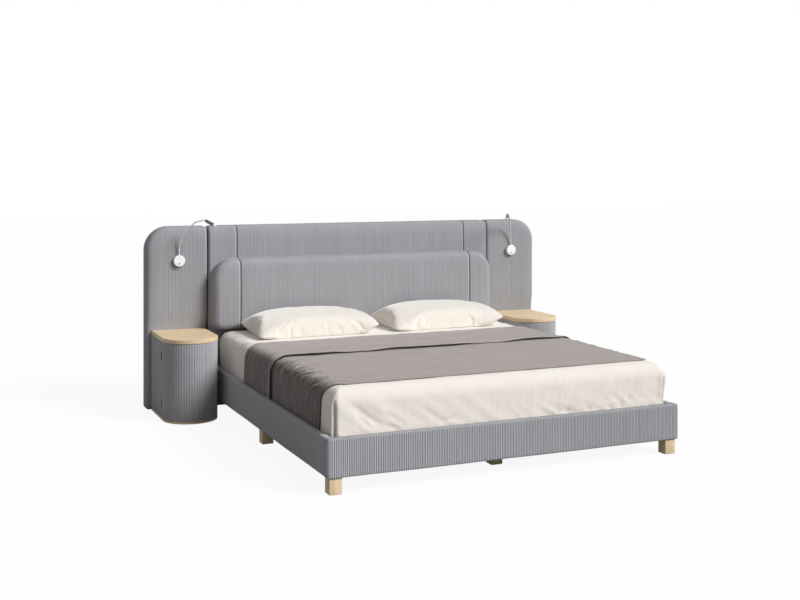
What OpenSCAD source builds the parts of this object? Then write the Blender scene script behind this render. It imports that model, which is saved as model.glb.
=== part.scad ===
// Upholstered bed with a wide ribbed headboard, two attached nightstands and two reading lamps.
// Millimetres. X runs along the headboard, Y towards it and Z up.
// The origin lies on the floor under the middle of the whole piece.

/* [Mattress and bedding] */
// Width of the mattress
mattress_w = 1800; // [1400:10:2000]
// Length of the mattress
mattress_l = 2000; // [1900:10:2200]
// Height of the mattress
mattress_h = 270; // [200:5:320]
// Plan radius of the mattress's corners
mattress_corner_r = 42; // [38:1:70]
// Radius of the mattress's long edges
mattress_edge_r = 32; // [20:1:36]
// Thickness of the cover down the sides
cover_side_t = 20; // [10:1:30]
// Thickness of the cover on top
cover_top_t = 15; // [8:1:30]
// Distance from the front of the cover to the throw's front edge
throw_front = 66; // [62:1:400]
// Length of the throw's single front part
throw_single_l = 804; // [300:1:1000]
// Length of the throw's doubled part, whose end is turned back on top
throw_double_l = 523; // [200:1:800]
// Thickness of one layer of the throw
throw_t = 4.5; // [3:0.5:5]
// Depth that the throw is tucked in below the rails' top
throw_tuck = 30; // [15:1:60]
// Length of a pillow
pillow_l = 760; // [600:10:860]
// Width of a pillow
pillow_w = 460; // [380:10:520]
// Thickness of a pillow at its crown
pillow_t = 138; // [90:1:180]
// Gap between the two pillows' corners
pillow_gap = 100; // [20:1:160]
// Rise from a pillow's front edge to its back edge
pillow_rise = 36; // [0:1:50]
// Height of the middle of a pillow's seam above the cover
pillow_seam_z = 36; // [28:1:60]
// Gap between the pillows and the inner headboard
pillow_back = 8; // [2:1:60]

/* [Bed frame] */
// Height of the legs
leg_h = 75; // [50:1:160]
// Side of a square leg
leg_w = 62; // [54:1:80]
// Set-back of the side legs from the frame's outside
leg_inset = 12; // [4:1:16]
// Height of the rails and of the footboard
rail_h = 184; // [170:1:260]
// Thickness of a side rail
rail_t = 33; // [32:1:50]
// Thickness of the footboard
foot_t = 43; // [34:1:70]
// Radius of the rails' top edges
rail_edge_r = 8; // [3:1:14]
// Gap between the cover and a side rail
side_gap = 12; // [11:1:30]
// Gap between the cover and the footboard
foot_gap = 10; // [4:1:40]
// Gap between the cover and the headboard
head_gap = 34; // [10:1:60]
// Depth that the mattress sinks below the rails' top
sink = 69; // [50:1:80]
// Width of a slat
slat_w = 70; // [50:1:100]
// Thickness of a slat
slat_t = 14; // [10:1:20]
// Number of slats
slat_n = 13; // [8:1:16]
// Distance of the end slats from the footboard and the head cross rail
slat_margin = 20; // [5:1:60]
// Gap between a slat's end and the side rail
slat_end_gap = 1; // [0.5:0.5:3]
// Side of a slat batten
batten_w = 25; // [20:1:30]
// Width of the centre beam
beam_w = 50; // [40:1:62]
// Height of the centre beam
beam_h = 40; // [30:1:50]
// Distance from the footboard's front to the first leg of the beam
beam_leg_front = 217; // [150:1:300]
// Thickness of the head cross rail
head_rail_t = 25; // [22:1:40]
// Length of a corner bracket's arm
bracket_l = 60; // [50:1:80]
// Height of a corner bracket
bracket_h = 56; // [40:1:60]
// Thickness of a bracket's steel
bracket_t = 3; // [2:0.5:4]
// Distance of a bracket's bolts from the corner
bracket_bolt = 37; // [30:1:42]
// Radius of a frame bolt
bolt_r = 4; // [3:0.5:5]
// Length of a frame bolt in the timber
bolt_l = 20; // [12:1:24]
// Thickness of a bolt's head
bolt_head_t = 5; // [3:0.5:6]
// Radius of a frame bolt's hexagon head
hex_r = 7; // [6:0.5:8]
// Spacing of the bolts that hold the head cross rail to the headboard
head_bolt_step = 460; // [200:10:500]
// Radius of a leg's dowel
dowel_r = 5; // [4:0.5:6]
// Length of a leg's dowel in the rail
dowel_l = 28; // [20:1:36]
// Distance of a leg's dowel behind the middle of the leg
dowel_back = 16; // [10:1:20]

/* [Headboard] */
// Height of the headboard
head_h = 1120; // [1050:5:1300]
// Width of a wing
wing_w = 380; // [350:5:420]
// Thickness of a wing
wing_t = 70; // [55:1:90]
// Distance by which the centre panel stands proud of the wings
centre_proud = 38; // [20:1:60]
// Distance by which the centre panel is wider than the bed frame, on each side
centre_overhang = 9; // [2:1:20]
// Gap between the centre panel and a wing
panel_gap = 3; // [2:0.5:6]
// Radius of a wing's outer top corner
wing_corner_r = 145; // [60:1:170]
// Radius of the panels' other corners
small_corner_r = 24; // [18:1:40]
// Radius of the panels' padded front edges
panel_edge_r = 24; // [10:1:30]
// Thickness of the timber boards
board_t = 18; // [12:1:24]
// Rim of padding round a timber board
board_rim = 8; // [7:1:20]
// Distance from the frame's outside to the sewn seams
seam_inset = 170; // [120:1:260]
// Depth of a sewn seam
seam_depth = 5; // [3:0.5:6]
// Height of the inner headboard
cushion_h = 440; // [350:5:500]
// Height of the inner headboard's underside
cushion_z = 477; // [470:1:560]
// Thickness of the inner headboard at its edge zone
cushion_t = 92; // [70:1:120]
// Crown of the inner headboard
cushion_crown = 5; // [0:1:12]
// Radius of the inner headboard's top corners
cushion_top_r = 135; // [80:1:170]
// Radius of the inner headboard's lower corners
cushion_low_r = 52; // [48:1:90]
// Radius of the inner headboard's padded edges
cushion_edge_r = 44; // [20:1:46]
// Thickness of the inner headboard's own board
cushion_board_t = 12; // [9:1:18]
// Width of a joining plate
plate_w = 120; // [90:1:160]
// Height of a joining plate
plate_h = 90; // [60:1:120]
// Thickness of a joining plate
plate_t = 3; // [2:0.5:5]
// Height of the middle of the lower joining plates
plate_low = 260; // [150:10:400]
// Height of the middle of the upper joining plates
plate_high = 860; // [600:10:940]
// Distance of a plate screw from the plate's edges
screw_edge = 22; // [14:1:26]
// Radius of a plate screw
screw_r = 2.5; // [2:0.25:3]
// Length of a plate screw in the board
screw_l = 11; // [9:0.5:11.5]

/* [Nightstands] */
// Width of a nightstand
stand_w = 322; // [300:1:340]
// Depth of a nightstand
stand_d = 489; // [460:1:600]
// Height of a nightstand
stand_h = 486; // [420:1:600]
// Gap between a nightstand and the bed frame
stand_gap = 35; // [30:1:45]
// Thickness of the wooden top
top_t = 24; // [16:1:36]
// Overhang of the wooden top
top_over = 2; // [0:0.5:5]
// Thickness of the wooden base
base_t = 12; // [8:1:24]
// Thickness of the sides and the door
panel_t = 18; // [16:1:22]
// Thickness of the back
stand_back_t = 12; // [9:1:18]
// Thickness of the shelf
shelf_t = 16; // [12:1:20]
// Height of the shelf's underside above the base
shelf_up = 215; // [120:1:300]
// Set-back of the shelf from the front edge of the sides
shelf_set = 4; // [2:1:10]
// Gap between the shelf's round front and the door
shelf_gap = 6; // [3:1:20]
// Depth of the fixed sides
carcass_d = 294; // [260:1:297]
// Gap round the door
door_gap = 2.6; // [2:0.2:3]
// Height of a hinge
hinge_h = 47; // [36:1:60]
// Height of the lower hinge's middle above the floor
hinge_low = 97; // [70:1:120]
// Height of the upper hinge's middle above the floor
hinge_high = 376; // [340:1:385]
// Radius of a hinge barrel
barrel_r = 4; // [3.5:0.25:5]
// Radius of a hinge pin
pin_r = 1.8; // [1.5:0.1:2.2]
// Width of a hinge leaf
leaf_w = 15; // [10:0.5:15.5]
// Thickness of a hinge leaf
leaf_t = 1.1; // [0.8:0.1:1.15]
// Height of the pull's middle above the floor
pull_z = 264; // [180:1:340]
// Height of the pull
pull_h = 70; // [50:1:100]
// Distance by which the pull stands out from the door
pull_out = 24; // [16:1:27]
// Radius of the pull's rod
pull_r = 3; // [2:0.5:4]
// Distance of the pull in front of the straight part of the door
pull_ahead = 10; // [6:1:20]
// Depth to which the pull's posts sit in the door
pull_seat = 4; // [3:0.5:8]
// Radius of a shelf pin
shelf_pin_r = 2.5; // [2:0.25:3]
// Length of a shelf pin
shelf_pin_l = 18; // [14:1:20]
// Depth of a shelf pin's hole
shelf_hole = 9; // [6:1:12]
// Distance of the rear shelf pins from the wing
pin_back = 60; // [45:1:90]
// Distance of the front shelf pins from the front edge of the sides
pin_front = 50; // [30:1:80]
// Drop of the lower stand bolts below the shelf
bolt_drop = 70; // [30:1:100]
// Rise of the upper stand bolts above the shelf's underside
bolt_rise = 90; // [40:1:120]
// Distance of the stand bolts from the inside of the sides
bolt_in = 40; // [20:1:90]
// Radius of a stand bolt's head
stand_head_r = 8; // [6:0.5:10]
// Distance by which a stand bolt ends short of the wing's back
bolt_short = 2; // [1:0.5:8]

/* [Reading lamps] */
// Height of the lamp disc's middle above the floor
lamp_z = 910; // [850:1:940]
// Radius of the lamp disc
disc_r = 35; // [30:1:42]
// Thickness of the lamp disc
disc_t = 17; // [16:0.5:22]
// Radius of the rounding of the disc's rim
disc_edge_r = 4; // [1:0.5:6]
// Radius of the hub behind the disc
hub_r = 22; // [20:1:26]
// Depth of the hub from the wing to the disc
hub_d = 36; // [24:1:44]
// Wall of the lamp's moulded casing
lamp_wall = 2.5; // [2:0.25:3.5]
// Thickness of the lamp's mounting plate
lamp_plate_t = 6; // [4:0.5:10]
// Width of the post that carries the switch
post_w = 12; // [8:1:14]
// Height of the post
post_h = 10; // [8:0.5:12]
// Drop of the post's top below the disc's middle
post_top = 4; // [1:0.5:6]
// Height of the switch on the post
switch_h = 8; // [6:0.5:10]
// Depth of the switch on the post
switch_d = 8; // [4:0.5:10]
// Width of the lamp's button
button_w = 10; // [8:0.5:13]
// Height of the lamp's button
button_h = 6; // [5:0.5:8]
// Distance from the disc's middle down to the button
button_drop = 17; // [14:0.5:20]
// Distance by which the button stands out
button_out = 2; // [1.8:0.1:3]
// Travel of the button
button_travel = 1.5; // [0.8:0.1:1.6]
// Thickness of the flange that keeps the button in the disc
flange_t = 1.2; // [1:0.1:1.6]
// Rim of the button's flange behind the disc's wall
flange_rim = 1; // [0.8:0.1:1.4]
// Radius of the collar that turns in the disc's rim
collar_r = 5; // [4:0.25:5.5]
// Height of the collar above the disc
collar_h = 7; // [5:0.5:14]
// Length of the collar's stem inside the disc
collar_l = 6; // [4:0.5:10]
// Rim of the collar above the disc
collar_rim = 1; // [0.5:0.25:3]
// Radius of the gooseneck
neck_r = 3.4; // [2.5:0.1:4]
// Radius of the gooseneck's bend
neck_bend_r = 210; // [150:1:260]
// Radius of the ball at each end of the gooseneck
ball_r = 4.8; // [4.4:0.1:5]
// Distance from a ball's middle to the rim of its cup
ball_up = 1.5; // [1.2:0.1:2]
// Turn of the arm from the headboard's line towards the bed's front
arm_turn = 55; // [40:1:80]
// Length of the lamp head
lamp_head_l = 79; // [60:1:110]
// Radius of the lamp head
lamp_head_r = 10; // [8:0.5:14]
// Downward tilt of the lamp head
lamp_head_tilt = 21.5; // [0:0.5:40]
// Length of the lens at the lamp head's tip
lens_l = 10; // [5:0.5:16]
// Step from the lamp head down to the lens
lens_step = 0.8; // [0:0.1:2]

/* [Fits] */
// Clearance between soft pieces and what they lie on
soft_gap = 0.3; // [0.2:0.1:0.6]
// Radial clearance of the pins and collars that turn
turn_gap = 0.08; // [0.04:0.01:0.1]
// Clearance round a piece that slides or sits loosely
slide_gap = 0.3; // [0.2:0.05:0.5]
// Radial clearance of a bolt in a plain hole
bolt_gap = 0.3; // [0.2:0.05:0.5]

/* [Hidden] */
$fn = 48;
// Steps in a quarter of a padded corner
arc_n = 6;
// Rings of a crown, as shares of the reach from the edge to the middle
crown_steps = [0.25, 0.55, 0.9];
// Distance by which forms that are joined or cut run into each other
lap = 0.5;
inner_w = mattress_w + 2 * (cover_side_t + side_gap);
frame_w = inner_w + 2 * rail_t;
cover_w = mattress_w + 2 * cover_side_t;
cover_l = mattress_l + 2 * cover_side_t;
bed_d = foot_t + foot_gap + cover_l + head_gap;
total_d = bed_d + centre_proud + wing_t + plate_t;
foot_y = -total_d / 2;
foot_in_y = foot_y + foot_t;
back_y = total_d / 2 - plate_t;
wing_y = back_y - wing_t;
centre_y = wing_y - centre_proud;
cushion_y = centre_y - cushion_t - cushion_crown;
rail_top = leg_h + rail_h;
slat_top = rail_top - sink;
slat_low = slat_top - slat_t;
mattress_top = slat_top + mattress_h;
cover_top = mattress_top + cover_top_t;
cover_front = foot_in_y + foot_gap;
cover_mid_y = cover_front + cover_l / 2;
cover_edge_r = mattress_edge_r + cover_top_t;
cover_corner_r = mattress_corner_r + cover_side_t;
rail_x = inner_w / 2;
rail_l = centre_y - foot_in_y;
head_rail_y = centre_y - head_rail_t;
centre_w = frame_w + 2 * centre_overhang;
wing_x = centre_w / 2 + panel_gap;
seam_x = frame_w / 2 - seam_inset;
stand_x = frame_w / 2 + stand_gap + stand_w / 2;
stand_r = stand_w / 2;
round_y = wing_y - (stand_d - stand_r);
side_front_y = wing_y - carcass_d;
door_y = side_front_y - door_gap;
side_z = base_t;
side_h = stand_h - top_t - base_t;
shelf_z = base_t + shelf_up;
hinge_x = stand_x + stand_r + barrel_r;
hinge_y = side_front_y - door_gap / 2;
shelf_front_r = stand_r - panel_t - shelf_gap;
pull_y = round_y - pull_ahead;
lamp_x = stand_x;
disc_back_y = wing_y - hub_d;
disc_front_y = disc_back_y - disc_t;
neck_y = disc_back_y - disc_t / 2;
rim_z = lamp_z + disc_r;
ball_z = rim_z + collar_h + ball_up;
ball_cup_r = ball_r + slide_gap;
bolt_zs = [shelf_z - bolt_drop, shelf_z + bolt_rise];
mid_leg_y = (foot_y + wing_y) / 2;

// Colours
ribbed_grey = [0.60, 0.60, 0.63];
oak = [0.86, 0.72, 0.53];
pine = [0.80, 0.68, 0.50];
cream = [0.93, 0.89, 0.83];
mauve = [0.62, 0.57, 0.56];
steel = [0.70, 0.70, 0.72];
white = [0.95, 0.95, 0.95];
dark = [0.15, 0.15, 0.16];

// ---- Helpers ----

// Arc of a corner: centre, radius, start angle
function corner(c, r, from) =
    [for (i = [0:arc_n]) [c[0] + r * cos(from + 90 * i / arc_n), c[1] + r * sin(from + 90 * i / arc_n)]];

// Rounded rectangle round [0, 0]; radii run low left, low right, top right, top left
function outline(w, h, radii, inset = 0) =
    let (
        x = w / 2 - inset,
        y = h / 2 - inset,
        r = [for (k = radii) max(k - inset, 1)]
    )
    concat(
        corner([-x + r[0], -y + r[0]], r[0], 180),
        corner([x - r[1], -y + r[1]], r[1], 270),
        corner([x - r[2], y - r[2]], r[2], 0),
        corner([-x + r[3], y - r[3]], r[3], 90)
    );

// Mean of a ring of points
function middle(ring) = [for (k = [0:2]) [for (p = ring) p[k]] * [for (p = ring) 1] / len(ring)];

// Closed solid through rings of points that run anticlockwise seen from the last ring
module loft(rings) {
    n = len(rings[0]);
    m = len(rings);
    points = concat([for (ring = rings) for (p = ring) p], [middle(rings[0]), middle(rings[m - 1])]);
    faces = concat(
        [for (j = [0:m - 2]) for (i = [0:n - 1]) [j * n + i, (j + 1) * n + i, j * n + (i + 1) % n]],
        [for (j = [0:m - 2]) for (i = [0:n - 1])
            [j * n + (i + 1) % n, (j + 1) * n + i, (j + 1) * n + (i + 1) % n]],
        [for (i = [0:n - 1]) [m * n, i, (i + 1) % n]],
        [for (i = [0:n - 1]) [m * n + 1, (m - 1) * n + (i + 1) % n, (m - 1) * n + i]]
    );
    polyhedron(points, faces, convexity = 6);
}

// Padded block on z = 0 with a rounded front edge and a crown
module padded(w, h, radii, depth, edge, crown = 0) {
    edge_rings = [for (i = [0:arc_n])
        let (a = 90 * i / arc_n)
        [edge * (1 - cos(a)), depth - edge + edge * sin(a)]];
    reach = min(w, h) / 2 - edge;
    crown_rings = crown > 0
        ? [for (s = crown_steps) [edge + reach * s, depth + crown * sin(90 * s / max(crown_steps))]]
        : [];
    loft([for (k = concat([[0, 0]], edge_rings, crown_rings))
        [for (p = outline(w, h, radii, k[0])) [p[0], p[1], k[1]]]]);
}

// Closed solid between two grids of points: the upper one and the lower one
module between(upper, lower) {
    rows = len(upper);
    cols = len(upper[0]);
    at = function (i, j, low) (low ? rows * cols : 0) + i * cols + j;
    points = concat([for (row = upper) for (p = row) p], [for (row = lower) for (p = row) p]);
    faces = concat(
        [for (i = [0:rows - 2]) for (j = [0:cols - 2])
            [at(i, j, false), at(i + 1, j, false), at(i, j + 1, false)]],
        [for (i = [0:rows - 2]) for (j = [0:cols - 2])
            [at(i + 1, j, false), at(i + 1, j + 1, false), at(i, j + 1, false)]],
        [for (i = [0:rows - 2]) for (j = [0:cols - 2])
            [at(i, j, true), at(i, j + 1, true), at(i + 1, j, true)]],
        [for (i = [0:rows - 2]) for (j = [0:cols - 2])
            [at(i + 1, j, true), at(i, j + 1, true), at(i + 1, j + 1, true)]],
        [for (i = [0:rows - 2]) for (j = [0, cols - 1])
            j == 0 ? [at(i, j, false), at(i, j, true), at(i + 1, j, true)]
                : [at(i, j, false), at(i + 1, j, true), at(i, j, true)]],
        [for (i = [0:rows - 2]) for (j = [0, cols - 1])
            j == 0 ? [at(i, j, false), at(i + 1, j, true), at(i + 1, j, false)]
                : [at(i, j, false), at(i + 1, j, false), at(i + 1, j, true)]],
        [for (j = [0:cols - 2]) for (i = [0, rows - 1])
            i == 0 ? [at(i, j, false), at(i, j + 1, true), at(i, j, true)]
                : [at(i, j, false), at(i, j, true), at(i, j + 1, true)]],
        [for (j = [0:cols - 2]) for (i = [0, rows - 1])
            i == 0 ? [at(i, j, false), at(i, j + 1, false), at(i, j + 1, true)]
                : [at(i, j, false), at(i, j + 1, true), at(i, j + 1, false)]]
    );
    polyhedron(points, faces, convexity = 10);
}

// Stands a shape drawn in X and Y up against the plane y, its front towards -Y
module upright(y) {
    translate([0, y, 0]) rotate([90, 0, 0]) children();
}

// Draws the left-hand twin of a right-hand shape
module left_hand() {
    mirror([1, 0, 0]) children();
}

// Box from its low corner to its high corner
module span(low, high) {
    translate(low) cube(high - low);
}

// ---- Bed frame ----

// Long board with rounded top edges: section [t, h], running l along Y
module rail_board(t, h, l) {
    rotate([-90, 0, 0]) mirror([0, 1, 0]) linear_extrude(l)
        union() {
            square([t, h - rail_edge_r]);
            translate([rail_edge_r, h - rail_edge_r]) square([t - 2 * rail_edge_r, rail_edge_r]);
            for (x = [rail_edge_r, t - rail_edge_r])
                translate([x, h - rail_edge_r]) circle(r = rail_edge_r);
        }
}

// Y positions of the front faces of the front and middle legs
leg_ys = [foot_y + leg_inset, mid_leg_y - leg_w / 2];
leg_x = frame_w / 2 - leg_inset - leg_w;
dowel_x = rail_x + (frame_w / 2 - leg_inset - rail_x) / 2;
dowel_dy = leg_w / 2 + dowel_back;

module dowel(extra = 0) {
    cylinder(r = dowel_r, h = dowel_l + extra);
}

bracket_z = slat_low - batten_w - slide_gap - bracket_h;
bracket_mid_z = bracket_z + bracket_h / 2;

module side_rail() {
    color(ribbed_grey) difference() {
        translate([rail_x, foot_in_y, leg_h]) rail_board(rail_t, rail_h, rail_l);
        for (y = leg_ys) translate([dowel_x, y + dowel_dy, leg_h - lap]) dowel(lap);
        for (y = [foot_in_y + bracket_bolt, head_rail_y - bracket_bolt])
            translate([rail_x - lap, y, bracket_mid_z]) rotate([0, 90, 0])
                cylinder(r = bolt_r, h = bolt_l + lap);
    }
}

module left_side_rail() left_hand() side_rail();
module right_side_rail() side_rail();

module footboard() {
    color(ribbed_grey) difference() {
        translate([-frame_w / 2, foot_in_y, leg_h]) rotate([0, 0, -90]) rail_board(foot_t, rail_h, frame_w);
        for (x = [-1, 1]) translate([x * (rail_x - bracket_bolt), foot_in_y + lap, bracket_mid_z])
            rotate([90, 0, 0]) cylinder(r = bolt_r, h = bolt_l + lap);
    }
}

// Bolts through the head cross rail into the headboard's board
module at_head_bolts() {
    for (x = [-1.5, -0.5, 0.5, 1.5])
        translate([x * head_bolt_step, head_rail_y, (leg_h + slat_low) / 2]) rotate([-90, 0, 0]) children();
}

module head_bolt_holes() {
    at_head_bolts() translate([0, 0, -lap])
        cylinder(r = bolt_r + bolt_gap, h = back_y - head_rail_y - bolt_short + lap);
}

module head_rail() {
    color(pine) difference() {
        span([-rail_x, head_rail_y, leg_h], [rail_x, centre_y, slat_low]);
        head_bolt_holes();
        for (x = [-1, 1]) translate([x * (rail_x - bracket_bolt), head_rail_y - lap, bracket_mid_z])
            rotate([-90, 0, 0]) cylinder(r = bolt_r, h = bolt_l + lap);
    }
}

module centre_beam() {
    color(pine) span([-beam_w / 2, foot_in_y, slat_low - beam_h], [beam_w / 2, head_rail_y, slat_low]);
}

slat_step = (head_rail_y - foot_in_y - slat_w - 2 * slat_margin) / (slat_n - 1);

module slats() {
    color(pine) for (i = [0:slat_n - 1])
        translate([-rail_x + slat_end_gap, foot_in_y + slat_margin + i * slat_step, slat_low])
            cube([inner_w - 2 * slat_end_gap, slat_w, slat_t]);
}

module slat_battens() {
    color(pine) for (side = [0, 1]) mirror([side, 0, 0])
        span([rail_x - batten_w, foot_in_y, slat_low - batten_w], [rail_x, head_rail_y, slat_low]);
}

module corner_bracket() {
    difference() {
        union() {
            translate([-bracket_l, 0, 0]) cube([bracket_l, bracket_t, bracket_h]);
            translate([-bracket_t, 0, 0]) cube([bracket_t, bracket_l, bracket_h]);
        }
        translate([-bracket_bolt, -lap, bracket_h / 2]) rotate([-90, 0, 0])
            cylinder(r = bolt_r + bolt_gap, h = bracket_t + 2 * lap);
        translate([lap, bracket_bolt, bracket_h / 2]) rotate([0, -90, 0])
            cylinder(r = bolt_r + bolt_gap, h = bracket_t + 2 * lap);
    }
}

// The four inner corners of the frame
module at_corners() {
    for (side = [0, 1]) mirror([side, 0, 0]) {
        translate([rail_x, foot_in_y, bracket_z]) children();
        translate([rail_x, head_rail_y, bracket_z]) mirror([0, 1, 0]) children();
    }
}

module corner_brackets() {
    color(steel) at_corners() corner_bracket();
}

// Hexagon bolt along +X with its shaft in the timber and its head on the steel
module hex_bolt(grip) {
    union() {
        rotate([0, 90, 0]) cylinder(r = bolt_r, h = bolt_l);
        translate([-grip, 0, 0]) rotate([0, 90, 0]) cylinder(r = bolt_r, h = grip);
        translate([-grip - bolt_head_t, 0, 0]) rotate([0, 90, 0])
            cylinder(r = hex_r, h = bolt_head_t, $fn = 6);
    }
}

module frame_bolts() {
    color(steel) {
        at_corners() {
            translate([0, bracket_bolt, bracket_h / 2]) hex_bolt(bracket_t);
            translate([-bracket_bolt, 0, bracket_h / 2]) rotate([0, 0, -90]) hex_bolt(bracket_t);
        }
        at_plates() at_plate_screws() plate_screw();
        at_head_bolts() {
            cylinder(r = bolt_r, h = back_y - head_rail_y - bolt_short);
            translate([0, 0, -bolt_head_t]) cylinder(r = hex_r, h = bolt_head_t, $fn = 6);
        }
    }
}

module leg(x, y) {
    union() {
        translate([x, y, 0]) cube([leg_w, leg_w, leg_h]);
        translate([dowel_x, y + dowel_dy, leg_h - lap]) dowel(lap);
    }
}

module front_legs() {
    color(oak) for (side = [0, 1]) mirror([side, 0, 0]) leg(leg_x, leg_ys[0]);
}

module mid_legs() {
    color(oak) for (side = [0, 1]) mirror([side, 0, 0]) leg(leg_x, leg_ys[1]);
}

module beam_legs() {
    color(oak) for (y = [foot_y + beam_leg_front, mid_leg_y, head_rail_y - beam_leg_front])
        translate([-leg_w / 2, y - leg_w / 2, 0]) cube([leg_w, leg_w, slat_low - beam_h]);
}

// ---- Headboard ----

wing_radii = [small_corner_r, small_corner_r, wing_corner_r, small_corner_r];
centre_radii = [small_corner_r, small_corner_r, small_corner_r, small_corner_r];
cushion_radii = [cushion_low_r, cushion_low_r, cushion_top_r, cushion_top_r];
wing_mid_x = wing_x + wing_w / 2;

// Flat board with rounded corners, from the plane y towards -Y
module board(w, h, radii, t, y) {
    upright(y) linear_extrude(t) polygon(outline(w, h, radii));
}

// Screw places on a joining plate, and the plates' places
module at_plate_screws() {
    for (x = [-1, 1]) for (z = [-1, 1])
        translate([x * (plate_w / 2 - screw_edge), 0, z * (plate_h / 2 - screw_edge)]) children();
}

module at_plates() {
    for (side = [0, 1]) mirror([side, 0, 0]) for (z = [plate_low, plate_high])
        translate([centre_w / 2 + panel_gap / 2, back_y, z]) children();
}

module plate_screw() {
    translate([0, -screw_l, 0]) rotate([-90, 0, 0]) cylinder(r = screw_r, h = screw_l + plate_t - screw_r);
    translate([0, plate_t - screw_r, 0]) rotate([-90, 0, 0])
        cylinder(r1 = screw_r, r2 = 2 * screw_r, h = screw_r);
}

module join_plate() {
    difference() {
        translate([-plate_w / 2, 0, -plate_h / 2]) cube([plate_w, plate_t, plate_h]);
        at_plate_screws() {
            translate([0, -lap, 0]) rotate([-90, 0, 0]) cylinder(r = screw_r, h = plate_t + 2 * lap);
            translate([0, plate_t - screw_r, 0]) rotate([-90, 0, 0])
                cylinder(r1 = screw_r, r2 = 2 * screw_r, h = screw_r);
        }
    }
}

module join_plates() {
    color(steel) at_plates() join_plate();
}

module screw_holes() {
    at_plates() at_plate_screws() translate([0, -screw_l, 0]) rotate([-90, 0, 0])
        cylinder(r = screw_r, h = screw_l + lap);
}

// Bolts that hold a nightstand to its wing
module at_stand_bolts() {
    for (x = [-1, 1]) for (z = bolt_zs)
        translate([stand_x + x * (stand_r - panel_t - bolt_in), wing_y, z]) children();
}

module stand_bolt_holes() {
    at_stand_bolts() translate([0, -stand_back_t - lap, 0]) rotate([-90, 0, 0])
        cylinder(r = bolt_r + bolt_gap, h = stand_back_t + wing_t + 2 * lap);
}

module wing_board() {
    color(pine) difference() {
        translate([wing_mid_x, 0, head_h / 2])
            board(wing_w - 2 * board_rim, head_h - 2 * board_rim, [for (r = wing_radii) r - board_rim],
                board_t, back_y);
        screw_holes();
        stand_bolt_holes();
    }
}

module wing_pad() {
    color(ribbed_grey) difference() {
        translate([wing_mid_x, 0, head_h / 2]) difference() {
            upright(back_y) padded(wing_w, head_h, wing_radii, wing_t, panel_edge_r);
            board(wing_w - 2 * board_rim, head_h - 2 * board_rim, [for (r = wing_radii) r - board_rim],
                board_t + lap, back_y + lap);
        }
        stand_bolt_holes();
    }
}

module left_wing_board() left_hand() wing_board();
module right_wing_board() wing_board();
module left_wing_pad() left_hand() wing_pad();
module right_wing_pad() wing_pad();

module centre_board() {
    color(pine) difference() {
        translate([0, 0, head_h / 2])
            board(centre_w - 2 * board_rim, head_h - 2 * board_rim, [for (r = centre_radii) r - board_rim],
                board_t, back_y);
        screw_holes();
        head_bolt_holes();
    }
}

// Straight stretch of a seam's groove, l long, that leans back from upright
module groove(l, lean) {
    side = seam_depth * sqrt(2);
    rotate([-lean, 0, 0]) rotate([0, 0, 45]) cube([side, side, l], center = true);
}

// Groove of a sewn seam at x: up the front at y, over the rounded edge and along the top
module seam(x, y, low_z, high_z, edge, back) {
    arc_mid = edge * (1 - cos(45));
    translate([x, y, (low_z + high_z) / 2]) groove(high_z - low_z, 0);
    translate([x, y + arc_mid, high_z - arc_mid]) groove(2 * edge, 45);
    translate([x, (y + back) / 2, high_z]) groove(back - y, 90);
}

module centre_pad() {
    color(ribbed_grey) difference() {
        translate([0, 0, head_h / 2])
            upright(back_y) padded(centre_w, head_h, centre_radii, wing_t + centre_proud, panel_edge_r);
        translate([0, 0, head_h / 2])
            board(centre_w - 2 * board_rim, head_h - 2 * board_rim, [for (r = centre_radii) r - board_rim],
                board_t + lap, back_y + lap);
        head_bolt_holes();
        for (x = [-seam_x, seam_x])
            seam(x, centre_y, cushion_z + cushion_h / 2, head_h, panel_edge_r, back_y + lap);
    }
}

module cushion_board() {
    color(pine) translate([0, 0, cushion_z + cushion_h / 2])
        board(frame_w - 2 * board_rim, cushion_h - 2 * board_rim, [for (r = cushion_radii) r - board_rim],
            cushion_board_t, centre_y);
}

module cushion_pad() {
    color(ribbed_grey) difference() {
        translate([0, 0, cushion_z + cushion_h / 2])
            upright(centre_y)
                padded(frame_w, cushion_h, cushion_radii, cushion_t, cushion_edge_r, cushion_crown);
        translate([0, 0, cushion_z + cushion_h / 2])
            board(frame_w - 2 * board_rim, cushion_h - 2 * board_rim,
                [for (r = cushion_radii) r - board_rim], cushion_board_t + lap, centre_y + lap);
        for (x = [-seam_x, seam_x])
            seam(x, centre_y - cushion_t, cushion_z - seam_depth, cushion_z + cushion_h, cushion_edge_r,
                centre_y + lap);
    }
}

// ---- Nightstands ----

// Plan of the nightstand: straight sides and a half-round front, r wide on each side
module stand_plan(r) {
    union() {
        translate([stand_x, round_y]) circle(r = r);
        translate([stand_x - r, round_y]) square([2 * r, wing_y - round_y]);
    }
}

module stand_top() {
    color(oak) translate([0, 0, stand_h - top_t]) linear_extrude(top_t) stand_plan(stand_r + top_over);
}

module stand_base() {
    color(oak) linear_extrude(base_t) stand_plan(stand_r);
}

// Heights and depths of the shelf pins in the sides
module at_shelf_pins() {
    for (side = [-1, 1]) for (d = [pin_back, carcass_d - pin_front])
        translate([stand_x + side * (stand_r - panel_t), wing_y - d, shelf_z - shelf_pin_r])
            rotate([0, side * 90, 0]) children();
}

module stand_sides() {
    color(ribbed_grey) difference() {
        for (side = [-1, 1])
            translate([stand_x + side * (stand_r - panel_t / 2) - panel_t / 2, side_front_y, side_z])
                cube([panel_t, carcass_d, side_h]);
        at_shelf_pins() translate([0, 0, -lap]) cylinder(r = shelf_pin_r, h = shelf_hole + lap);
    }
}

module stand_back() {
    color(oak) difference() {
        span([stand_x - stand_r + panel_t, wing_y - stand_back_t, side_z],
            [stand_x + stand_r - panel_t, wing_y, side_z + side_h]);
        stand_bolt_holes();
    }
}

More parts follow.
